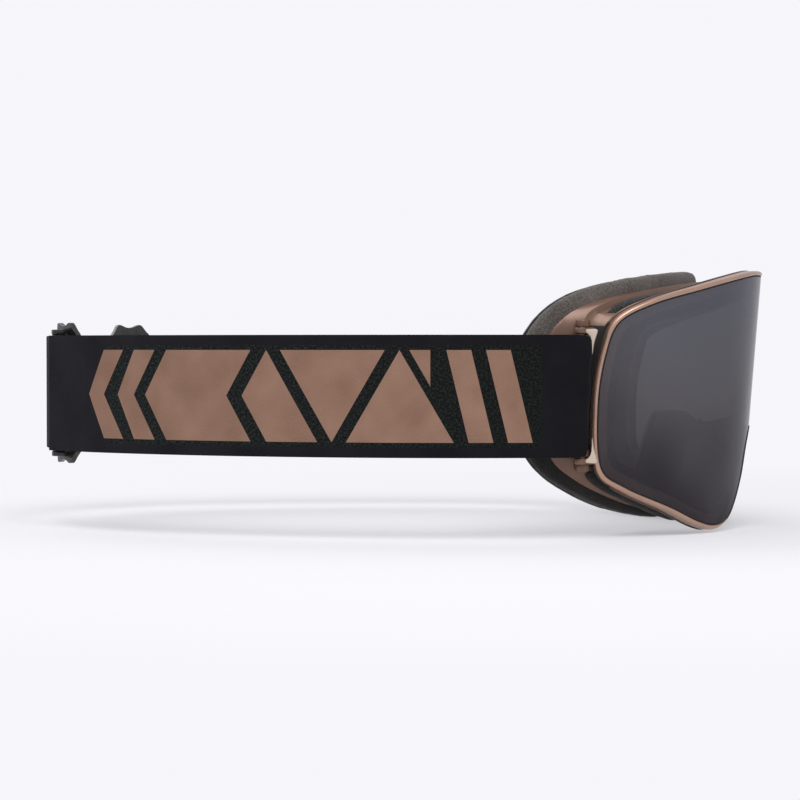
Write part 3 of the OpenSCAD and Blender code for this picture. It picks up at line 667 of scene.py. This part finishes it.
low_runs = [run for run in runs if 8 < row_of(run[0]) < 12]
filter_strip("brow_vent_filter", "upper_vent_foam", [run for run in runs if run not in low_runs])
for run in low_runs:
    side = "left" if run[0] < STATIONS / 2 else "right"
    filter_strip(side + "_cheek_vent_filter", side + "_lower_vent_foam", [run])


# Face foam: a thick ring of brown-grey open-cell foam, glued to the flange and cut to the
# face, with a brushed fleece on the side that meets the skin.
STAND_OUT = [(8, 1), (9.5, 0.7), (12, 0.5), (16, 0.4)]


def foam_section(k):
    proud = 5 * table(STAND_OUT, row_of(k))
    root = -10.4 * nose_width(k)
    face = -14 * nose_width(k)
    shape = [
        (1.02, 0), (1.03, proud * 0.35), (1.055, proud * 0.72), (1.1, proud * 0.95),
        (1.16, proud), (1.26, proud), (1.38, proud * 0.9), (1.5, proud * 0.74),
        (1.62, proud * 0.55), (1.74, proud * 0.33), (1.83, proud * 0.12), (1.88, -0.5),
        (1.88, face * 0.35), (1.88, face * 0.7), (1.88, face + 0.6), (1.84, face - 0.3),
        (1.72, face - 1), (1.55, face - 1.4), (1.36, face - 1.5), (1.18, face - 1.4),
        (1.1, mix(face, root, 0.5)), (1.03, root), (1.02, root + 1), (1.02, root * 0.5)]
    return [body_point(k, t, w) for t, w in shape]


foam = ring("face_foam_pad", [foam_section(k) for k in range(STATIONS)])
modify(foam, "SUBSURF", levels=1, render_levels=1)
for vertex in foam.data.vertices:
    p = vertex.co * 1000
    lump = 0.22 * noise.noise(p * 0.16) + 0.16 * noise.noise(p * 0.9) + 0.1 * noise.noise(p * 2.3)
    vertex.co = vertex.co + vertex.normal * lump * MM
smooth(foam, 70)
# The face foam gets painted shade, much darker towards the bottom.
foam.data.materials.append(
    foam_finish("face_foam", (0.27, 0.235, 0.21), (0.03, 0.025, 0.022), 0.4, 0.25, 0.12,
                painted_shade=(-30, 22, 0.13)))
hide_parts("face_foam")
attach(foam, "frame")


def fleece_section(k):
    """A thin cap over the foam's face and its outer edge."""
    face = -14 * nose_width(k)
    proud = table(STAND_OUT, row_of(k))
    shape = [
        (1.64, 2.6 * proud), (1.66, 3 * proud), (1.78, 2.35 * proud), (1.93, 0.9 * proud),
        (2, -1.6), (2, face * 0.4), (2, face * 0.75), (1.99, face + 0.6), (1.95, face - 0.2),
        (1.9, face - 0.5), (1.885, face + 0.3), (1.885, face * 0.5), (1.885, -0.6),
        (1.78, 1.2 * proud)]
    return [body_point(k, t, w) for t, w in shape]


fleece = ring("face_fleece_lining", [fleece_section(k) for k in range(STATIONS)])
for vertex in fleece.data.vertices:
    p = vertex.co * 1000
    vertex.co = vertex.co + vertex.normal * (0.12 * noise.noise(p * 0.7)) * MM
smooth(fleece, 60)
fleece_pile, tree, shader, mm = finish("fleece_pile")
tufts = add(tree, "TexNoise", {"Vector": mm, "Scale": 3.2, "Detail": 5.0, "Roughness": 0.65})
tint(tree, shader, tufts.outputs["Fac"], (0.3, (0.006, 0.006, 0.007)),
     (0.75, (0.022, 0.021, 0.023)))
constants(shader, {"Roughness": 0.95, "Sheen Weight": 0.35})
relief(tree, shader, tufts.outputs["Fac"], 0.3, 0.9)
fleece.data.materials.append(fleece_pile)
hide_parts("face_fleece")
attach(fleece, "frame")


# Outriggers: a metallic rose-gold link on each side, with two arms on steel pins, a bar that
# the strap is folded round, and an ear beyond each corner of the strap.
BAR_X, BAR_Y, WRAP_R = 30.7198, 92.9094, 3.3
PIVOT_Y = BAR_Y - 7.9
ARM_Z, ARM_T = 25.5, 2.4


def slab(name, corners, low, high, axis=2, bevel=0.4, angle=38, bow=None):
    """A plate cut to an outline in millimetres, thick along an axis, with rounded edges."""
    piece = fresh(name, bpy.ops.mesh.primitive_circle_add, vertices=len(corners), radius=1,
                  fill_type="NGON")
    for vertex, (a, b) in zip(piece.data.vertices, corners):
        vertex.co = Vector(((low, a, b), (a, low, b), (a, b, low))[axis]) * MM
    push = [0, 0, 0]
    push[axis] = (high - low) * MM
    bpy.ops.object.mode_set(mode="EDIT")
    bpy.ops.mesh.select_all(action="SELECT")
    bpy.ops.mesh.extrude_region_move(TRANSFORM_OT_translate={"value": push})
    bpy.ops.object.mode_set(mode="OBJECT")
    for vertex in piece.data.vertices:
        vertex.co.x += bow(vertex.co.y, vertex.co.z) if bow else 0
    face_out(piece)
    round_edges(piece, bevel, 3, angle)
    return piece


def rod(name, r, x, y, low, high, sides=32, bevel=0.25):
    piece = fresh(name, bpy.ops.mesh.primitive_cylinder_add, vertices=sides, radius=r * MM,
                  depth=(high - low) * MM)
    for vertex in piece.data.vertices:
        vertex.co += Vector((x, y, (low + high) / 2)) * MM
    round_edges(piece, bevel, 2, 60)
    return piece


def other_side(piece, name):
    """The same piece on the wearer's right, as its own mesh."""
    only(piece)
    bpy.ops.object.duplicate()
    twin = bpy.context.object
    twin.name = name
    for vertex in twin.data.vertices:
        vertex.co.y = -vertex.co.y
    twin.data.flip_normals()
    return twin


def arc_points(x, y, r, first, last, count):
    return [(x + r * math.cos(math.radians(mix(first, last, i / count))),
             y + r * math.sin(math.radians(mix(first, last, i / count))))
            for i in range(count + 1)]


arm = (arc_points(BAR_X, BAR_Y, 2.6, 0, 180, 14)
       + arc_points(BAR_X, PIVOT_Y, 2.7, 180, 360, 14)
       + [(BAR_X + 4.6, BAR_Y - 3.6), (BAR_X + 5.4, BAR_Y - 2.2), (BAR_X + 4.8, BAR_Y - 0.6)])
BAR_R, BAR_HALF, EAR_INSIDE, EAR_OUTSIDE = 1.5, 27.9, 90.6, 94.4
EAR = [(32.2, 26.4), (33.6, 25.4), (34.6, 24.3), (35.1, 22.6), (35.3, 20), (35.3, 17),
       (35.6, 18.8), (35.9, 21.2), (36.5, 23.4), (37.1, 25.2), (37.5, 26.5), (37.2, 27.2),
       (36.4, 27.4), (33, 27.2)]
ear_coat = rose_gold("ear_coat", (0.72, 0.6, 0.48), (0.62, 0.5, 0.39), 0.34, 0.25)
parts = [rod("bar", BAR_R, BAR_X, BAR_Y, -BAR_HALF, BAR_HALF)]
parts[0].data.materials.append(frame_coat)
for up in (-1, 1):
    low, high = sorted((up * ARM_Z, up * (ARM_Z + ARM_T)))
    parts.append(slab("arm", arm, low, high, bevel=0.35))
    parts[-1].data.materials.append(frame_coat)
    ear = slab("ear", [(x, up * z) for x, z in EAR], EAR_INSIDE, EAR_OUTSIDE, axis=1, bevel=0.3)
    for face in ear.data.polygons:
        face.material_index = 1
    ear.data.materials.append(frame_coat)
    ear.data.materials.append(ear_coat)
    parts.append(ear)
link = joined("left_outrigger_link", parts)
smooth(link, 35)
links = {"left": link, "right": other_side(link, "right_outrigger_link")}
ground_steel, tree, shader, mm = finish("ground_steel")
lay = add(tree, "Mapping", {"Vector": mm, "Scale": (9, 9, 0.6)})
grind = add(tree, "TexNoise", {"Vector": lay.outputs[0], "Scale": 1.0, "Detail": 4.0})
tint(tree, shader, grind.outputs["Fac"], (0.3, (0.42, 0.42, 0.43)), (0.7, (0.6, 0.6, 0.6)))
constants(shader, {"Metallic": 1.0, "Roughness": 0.3})
relief(tree, shader, grind.outputs["Fac"], 0.01, 0.5)
for side, piece in links.items():
    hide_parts(side + "_outrigger")
    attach(piece, side + "_outrigger_link")
    # The steel pins keep their CAD mesh and only get a finish.
    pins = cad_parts[side + "_outrigger_pins"]
    pins.data.materials.clear()
    pins.data.materials.append(ground_steel)

# Hinge lugs: rounded blocks of the frame's own moulding, above and below each arm, that hold
# the pins.
LUG_R, LUG_HALF, LUG_GAP, LUG_ROOT = 2.9, 1.5, 0.25, 5
lugs = []
for up in (-1, 1):
    for z in (ARM_Z - LUG_GAP - LUG_HALF, ARM_Z + ARM_T + LUG_GAP + LUG_HALF):
        body = (arc_points(BAR_X, PIVOT_Y, LUG_R, 0, 180, 14)
                + [(BAR_X - LUG_R, PIVOT_Y - LUG_ROOT), (BAR_X + LUG_R, PIVOT_Y - LUG_ROOT)])
        low, high = sorted((up * (z - LUG_HALF), up * (z + LUG_HALF)))
        lugs.append(slab("lug", body, low, high, bevel=0.45))
lug = joined("left_hinge_lugs", lugs)
smooth(lug, 35)
lug.data.materials.append(frame_coat)
for piece in (lug, other_side(lug, "right_hinge_lugs")):
    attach(piece, "frame")


# Strap, outer layers: black elastic webbing with a smooth knitted face and copper blocks
# printed on it. Each is folded round its outrigger's bar and sewn to the slider behind.
REAR_X, HALF_WIDTH, SIDE_R, REAR_R, LAYER_STEP = -131.7, 110.3, 250, 88.9, 2.7
SIDE_Y = HALF_WIDTH - SIDE_R
BAR_TURN = math.degrees(math.acos((BAR_Y - SIDE_Y) / (SIDE_R - WRAP_R)))
SIDE_X = BAR_X - (SIDE_R - WRAP_R) * math.sin(math.radians(BAR_TURN))
BACK_SIDE_R = (((SIDE_X - REAR_X) ** 2 + HALF_WIDTH ** 2 - REAR_R ** 2)
               / (2 * (HALF_WIDTH - REAR_R)))
BACK_SIDE_Y = HALF_WIDTH - BACK_SIDE_R
SIDE_TURN = math.degrees(math.atan2(SIDE_X - REAR_X, -BACK_SIDE_Y))
INNER_WIDTH = HALF_WIDTH - LAYER_STEP
INNER_FALL = INNER_WIDTH - BAR_Y
INNER_R = ((BAR_X - SIDE_X) ** 2 + INNER_FALL ** 2 - WRAP_R ** 2) / (2 * (INNER_FALL + WRAP_R))
INNER_TURN = math.degrees(math.asin((BAR_X - SIDE_X) / (INNER_R + WRAP_R)))
SLIDER_POLAR, BAR_PLACE, LOOP_R, TAB_R = 141, 89.9, 2.1, 87.8
STRAP_HALF = 25
PULL = math.sqrt(BAR_PLACE ** 2 - (REAR_R - LOOP_R) ** 2)
PULL_POLAR = SLIDER_POLAR - math.degrees(math.atan2(PULL, REAR_R - LOOP_R))
# The outer layer leaves the head's curve at PULL_POLAR for its loop round the bar.
LOOP_AT = (REAR_X + BAR_PLACE * math.cos(math.radians(SLIDER_POLAR)),
           BAR_PLACE * math.sin(math.radians(SLIDER_POLAR)))


def trail(arcs, widest=2.2):
    """Places along a chain of arcs and straights: distance, point and outward direction."""
    marks, run, last = [], 0.0, None
    for x, y, r, first, end in arcs:
        span = abs(math.radians(end - first)) * r
        count = max(2, math.ceil(span / min(widest, r * 0.17)))    # 10 degrees at most
        for i in range(count + 1):
            a = math.radians(mix(first, end, i / count))
            at = Vector((x + r * math.cos(a), y + r * math.sin(a)))
            turn = 1 if end > first else -1
            away = Vector((math.cos(a), math.sin(a))) * turn
            if last is not None:
                gap = (at - last).length
                if gap < 1e-4:
                    continue
                pieces = max(1, math.ceil(gap / widest)) if i == 0 else 1
                for j in range(1, pieces):
                    marks.append((run + gap * j / pieces, last.lerp(at, j / pieces), away))
                run += gap
            marks.append((run, at, away))
            last = at
    return marks


def band(name, marks, half_at, across, prints=()):
    """A flat band as long as the trail, cut along the print's edges, then laid on the trail."""
    piece = fresh(name, bpy.ops.mesh.primitive_grid_add, x_subdivisions=len(marks) - 1,
                  y_subdivisions=across, size=2)
    for vertex in piece.data.vertices:
        d = marks[round((vertex.co.x / 2 + 0.5) * (len(marks) - 1))][0]
        vertex.co = (d * MM, vertex.co.y * STRAP_HALF * MM, 0)
    only(piece)
    for motif in prints:
        near = [min(x for x, z in motif) * MM - 0.004, max(x for x, z in motif) * MM + 0.004]
        for (ax, az), (bx, bz) in zip(motif, motif[1:] + motif[:1]):
            for face in piece.data.polygons:
                face.select = near[0] < face.center.x < near[1]
            bpy.ops.object.mode_set(mode="EDIT")
            bpy.ops.mesh.bisect(plane_co=(ax * MM, az * MM, 0),
                                plane_no=Vector((bz - az, ax - bx, 0)).normalized(),
                                threshold=1e-6)
            bpy.ops.object.mode_set(mode="OBJECT")
    for face in piece.data.polygons:
        x, z = face.center.x / MM, face.center.y / MM
        for motif in prints:
            turns = [(bx - ax) * (z - az) - (bz - az) * (x - ax)
                     for (ax, az), (bx, bz) in zip(motif, motif[1:] + motif[:1])]
            if min(turns) > 0 or max(turns) < 0:
                face.material_index = 1
    uv = piece.data.uv_layers.active or piece.data.uv_layers.new(name="UVMap")
    for loop in piece.data.loops:
        co = piece.data.vertices[loop.vertex_index].co
        uv.data[loop.index].uv = (co.x, co.y)
    for vertex in piece.data.vertices:
        d, z = vertex.co.x / MM, vertex.co.y / MM
        i = next((i for i in range(1, len(marks)) if marks[i][0] >= d - 1e-6), len(marks) - 1)
        (d0, p0, n0), (d1, p1, n1) = marks[i - 1], marks[i]
        part = min(1, max(0, (d - d0) / (d1 - d0)))
        p, n = p0.lerp(p1, part), n0.lerp(n1, part).normalized()
        half, wave = half_at(d, z)
        p = p + n * wave
        vertex.co = Vector((p.x, p.y, z * half / STRAP_HALF)) * MM
    return piece


def along_cloth(tree):
    """The cloth's own flat coordinates in millimetres."""
    uv = add(tree, "UVMap", uv_map="UVMap")
    return add(tree, "VectorMath", {0: uv.outputs[0], "Scale": 1000}, operation="SCALE").outputs[0]


def webbing_finish(name, depth, ground=None):
    """Elastic webbing: fine ribs across it, with slubs; with a ground, a speckled ground under a
    print and painted shade, darker towards the bar at the strap's front.
    """
    made, tree, shader, mm = finish(name)
    flat = along_cloth(tree)
    ribs = add(tree, "TexWave", {"Vector": flat, "Scale": 0.42, "Distortion": 0.6,
                                 "Detail": 2.0, "Detail Scale": 1.5}, bands_direction="X")
    rows = add(tree, "TexWave", {"Vector": flat, "Scale": 0.5, "Distortion": 0.8,
                                 "Detail": 1.0}, bands_direction="Y")
    slub = add(tree, "TexNoise", {"Vector": flat, "Scale": 1.6, "Detail": 4.0})
    cloud = add(tree, "TexNoise", {"Vector": flat, "Scale": 0.05, "Detail": 2.0})
    knit = add(tree, "Math", {0: ribs.outputs["Fac"], 1: rows.outputs["Fac"]},
               operation="MULTIPLY")
    knit = add(tree, "Math", {0: knit.outputs[0], 1: slub.outputs["Fac"]}, operation="ADD")
    colour = ramp(tree, mean(tree, slub.outputs["Fac"], cloud.outputs["Fac"]),
                  (0.36, (0.0085, 0.0078, 0.0105)), (0.62, (0.016, 0.0145, 0.019)))
    if ground:
        parts = add(tree, "SeparateXYZ", {"Vector": flat})
        high = add(tree, "Math", {0: parts.outputs["Y"]}, operation="ABSOLUTE")
        zone = add(tree, "MapRange", {"Value": high.outputs[0], 1: 20.0, 2: 21.5, 3: 1.0, 4: 0.0})
        for place, start, end in ((ground[0], 0.0, 1.0), (ground[1], 1.0, 0.0)):
            limit = add(tree, "MapRange", {"Value": parts.outputs["X"], 1: place - 1,
                                           2: place + 1, 3: start, 4: end})
            zone = add(tree, "Math", {0: zone.outputs[0], 1: limit.outputs[0]},
                       operation="MULTIPLY")
        dots = add(tree, "TexNoise", {"Vector": flat, "Scale": 1.1, "Detail": 2.0})
        dots = ramp(tree, dots.outputs["Fac"], (0.42, (0.005, 0.0065, 0.006)),
                    (0.66, (0.026, 0.031, 0.029)))
        both = add(tree, "Mix", {0: zone.outputs[0], 6: colour, 7: dots}, data_type="RGBA")
        # Painted shade: the webbing's colour is scaled from dark at the bar to light towards the
        # back.
        painted_shade = add(tree, "MapRange", {"Value": parts.outputs["X"], 1: 0.0, 2: 240.0,
                                      3: 0.55, 4: 1.2})
        colour = add(tree, "VectorMath", {0: both.outputs[2], "Scale": painted_shade.outputs[0]},
                     operation="SCALE").outputs[0]
    tree.links.new(colour, shader.inputs["Base Color"])
    constants(shader, {"Roughness": 0.8, "Specular IOR Level": 0.12, "Sheen Weight": 0.03,
                       "Sheen Roughness": 0.4})
    relief(tree, shader, knit.outputs[0], depth, 0.8)
    return made


knitted = webbing_finish("knitted_webbing", 0.1, ground=(28, 220))
copper_print, tree, shader, mm = finish("copper_print")
flat = along_cloth(tree)
speck = add(tree, "TexNoise", {"Vector": flat, "Scale": 2.2, "Detail": 4.0})
bloom = add(tree, "TexNoise", {"Vector": flat, "Scale": 0.06, "Detail": 2.0})
tint(tree, shader, mean(tree, speck.outputs["Fac"], bloom.outputs["Fac"]),
     (0.36, (0.245, 0.135, 0.09)), (0.64, (0.345, 0.2, 0.14)))
constants(shader, {"Roughness": 0.6, "Specular IOR Level": 0.25})
relief(tree, shader, speck.outputs["Fac"], 0.06, 0.6)

outer_marks = trail([
    (BAR_X, BAR_Y, WRAP_R, -90 - INNER_TURN, 90 - BAR_TURN),
    (SIDE_X, SIDE_Y, SIDE_R, 90 - BAR_TURN, 90),
    (SIDE_X, BACK_SIDE_Y, BACK_SIDE_R, 90, 90 + SIDE_TURN),
    (REAR_X, 0, REAR_R, 90 + SIDE_TURN, PULL_POLAR),
    (*LOOP_AT, LOOP_R, PULL_POLAR, SLIDER_POLAR + 180),
    (REAR_X, 0, TAB_R, SLIDER_POLAR, SLIDER_POLAR - 9)])
FOLD_AT = math.radians(90 + INNER_TURN) * WRAP_R
CORNER, FOLD_SOFT = 5, 6


def fold_shape(d, z):
    """Half of the width, and how far the webbing waves out, beside the fold."""
    near = abs(d - FOLD_AT)
    half = STRAP_HALF - CORNER * (1 - math.sqrt(max(0, 1 - max(0, 1 - near / FOLD_SOFT) ** 2)))
    soft = math.exp(-(near / FOLD_SOFT) ** 2)
    wave = soft * (0.18 * math.sin(z * 0.31 + 0.8) + 0.25 * noise.noise((z * 0.16, 3.1, 0))
                   + 0.04 * z - 0.3)
    return half, wave


def block(*corners):
    """A printed block, its corners measured from the fold and from the strap's middle."""
    return [(x + FOLD_AT, z) for x, z in corners]


H = 18.8    # half of the print's height
PRINTS = [
    block((25, -H), (35, -H), (44, H), (34, H)),
    block((41, -H), (51, -H), (60, H), (50, H)),
    block((57, -H), (101, -H), (79, H)),
    block((66.5, H), (75, H), (66.5, 4)),
    block((85, H), (129, H), (107, -H)),
    block((113, -H), (135, -H), (146, 0), (135, H), (124, 0)),
    block((142, H), (182, H), (193, 0), (153, 0)),
    block((142, -H), (182, -H), (193, 0), (153, 0)),
    block((188, H), (199, H), (208, 0), (199, 0)),
    block((188, -H), (199, -H), (208, 0), (199, 0)),
    block((205, H), (216, H), (225, 0), (216, 0)),
    block((205, -H), (216, -H), (225, 0), (216, 0)),
]


def sewn_cloth(piece, thick, soften=0.35):
    """Gives a laid band its thickness and soft edges."""
    modify(piece, "SOLIDIFY", thickness=thick * MM, offset=0)
    face_out(piece)
    round_edges(piece, soften, 2, 60)
    smooth(piece, 50)


layer = band("left_printed_layer", outer_marks, fold_shape, 18, PRINTS)
sewn_cloth(layer, 1.2)
layer.data.materials.append(knitted)
layer.data.materials.append(copper_print)
layers = {"left": layer, "right": other_side(layer, "right_printed_layer")}
for side, piece in layers.items():
    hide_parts(side + "_strap_layer")
    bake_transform(piece)


# Strap, inner layer and back: one length of the same elastic webbing without print. It runs
# from bar to bar inside the outer layers, through both sliders and round the head.
side_arcs = [
    (SIDE_X, INNER_WIDTH - INNER_R, INNER_R, 90 - INNER_TURN, 90),
    (SIDE_X, BACK_SIDE_Y, BACK_SIDE_R - LAYER_STEP, 90, 90 + SIDE_TURN)]
inner_marks = trail(
    side_arcs + [(REAR_X, 0, REAR_R - LAYER_STEP, 90 + SIDE_TURN, 270 - SIDE_TURN)]
    + [(x, -y, r, 360 - end, 360 - first) for x, y, r, first, end in reversed(side_arcs)])


def back_shape(d, z):
    """Between the sliders the back bows out a little, ripples and cups along its edges."""
    free = min(1, max(0, (16 - abs(d - inner_marks[-1][0] / 2)) / 12))
    ripple = 0.4 * noise.noise((z * 0.09, d * 0.02, 7.3)) + 0.3 * math.sin(z * 0.27 + d * 0.015)
    cup = 0.9 - 2.6 * (abs(z) / STRAP_HALF) ** 6
    return 24.9 + 0.3 * free * noise.noise((d * 0.05, 1.7, 0)), free * (ripple + cup)


plain = webbing_finish("plain_webbing", 0.12)
webbing = band("inner_and_back_webbing", inner_marks, back_shape, 20)
sewn_cloth(webbing, 1.3)
webbing.data.materials.append(plain)
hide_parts("strap_webbing")
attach(webbing, "frame")


# Sliders: glossy smoke-brown moulded buckles. A centre bar holds the outer layer's sewn loop,
# two inner bars hold the webbing, and hollowed end plates join them above and below.
PLATE_R, PLATE_T, HALF_L, BASE = 83.0, 2.3, 11.14, 25.4
RAIL_PLACE, RAIL_TURN = 84.1, 6


def polar_place(piece):
    """Turns a slider, drawn with x outwards and y along the strap, to its place."""
    a = math.radians(SLIDER_POLAR)
    for vertex in piece.data.vertices:
        x, y, z = vertex.co
        vertex.co = (REAR_X * MM + x * math.cos(a) - y * math.sin(a),
                     x * math.sin(a) + y * math.cos(a), z)


def plate_outline(up):
    """Sloping sides, rounded peaks and a hollow between them, in y and z."""
    side = [(-HALF_L, 0), (-HALF_L + 0.9, 0.9), (-8.9, 2.3), (-7.6, 4.1), (-6.9, 4.85),
            (-6.1, 5.15), (-5.3, 5.1), (-4.2, 4.72), (-2.9, 4.2), (-1.5, 3.85)]
    top = side + [(0, 3.75)] + [(-y, z) for y, z in reversed(side)]
    low = [(HALF_L, -0.4), (HALF_L - 1.6, -0.4), (-HALF_L + 1.6, -0.4), (-HALF_L, -0.4)]
    return [(y, up * (BASE + z)) for y, z in top + low]


def plate_bow(y, z):
    """How far a plate stands out there: its peaks rise, and its sides fall back."""
    rise = (abs(z) / MM - BASE) / 5.2
    return (0.9 * max(0, rise) - 0.7 * (y / MM / HALF_L) ** 2) * MM


parts = []
for up in (-1, 1):
    parts.append(slab("plate", plate_outline(up), PLATE_R, PLATE_R + PLATE_T, axis=0,
                      bevel=0.5, angle=35, bow=plate_bow))
    post = slab("post", [(PLATE_R + 1, -2.8), (BAR_PLACE + 0.2, -2.2), (BAR_PLACE + 1.1, -1.2),
                         (BAR_PLACE + 1.2, 0), (BAR_PLACE + 1.1, 1.2), (BAR_PLACE + 0.2, 2.2),
                         (PLATE_R + 1, 2.8)],
                *sorted((up * BASE, up * (BASE + 2.2))), bevel=0.4)
    parts.append(post)
parts.append(rod("centre_bar", 1.2, BAR_PLACE, 0, -27, 27))
for turn in (-RAIL_TURN, RAIL_TURN):
    a = math.radians(turn)
    rail = rod("rail", 1.1, 0, 0, -25.6, 25.6, sides=24)
    for vertex in rail.data.vertices:
        x, y = vertex.co.x, vertex.co.y * 1.6
        vertex.co.x = RAIL_PLACE * MM * math.cos(a) + x * math.cos(a) - y * math.sin(a)
        vertex.co.y = RAIL_PLACE * MM * math.sin(a) + x * math.sin(a) + y * math.cos(a)
    parts.append(rail)
buckle = joined("left_strap_buckle", parts)
polar_place(buckle)
smooth(buckle, 40)
smoke_plastic, tree, shader, mm = finish("smoke_brown_plastic")
swirl = add(tree, "TexNoise", {"Vector": mm, "Scale": 0.35, "Detail": 3.0})
fine = add(tree, "TexNoise", {"Vector": mm, "Scale": 6.0, "Detail": 3.0})
tint(tree, shader, swirl.outputs["Fac"], (0.35, (0.014, 0.012, 0.012)),
     (0.7, (0.03, 0.026, 0.026)))
gloss = add(tree, "MapRange", {"Value": fine.outputs["Fac"], 1: 0.3, 2: 0.7, 3: 0.2, 4: 0.34})
tree.links.new(gloss.outputs[0], shader.inputs["Roughness"])
constants(shader, {"IOR": 1.52, "Coat Weight": 0.3})
relief(tree, shader, fine.outputs["Fac"], 0.012, 0.4)
buckle.data.materials.append(smoke_plastic)
for side, piece in (("left", buckle), ("right", other_side(buckle, "right_strap_buckle"))):
    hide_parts(side + "_slider")
    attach(piece, side + "_strap_slider")
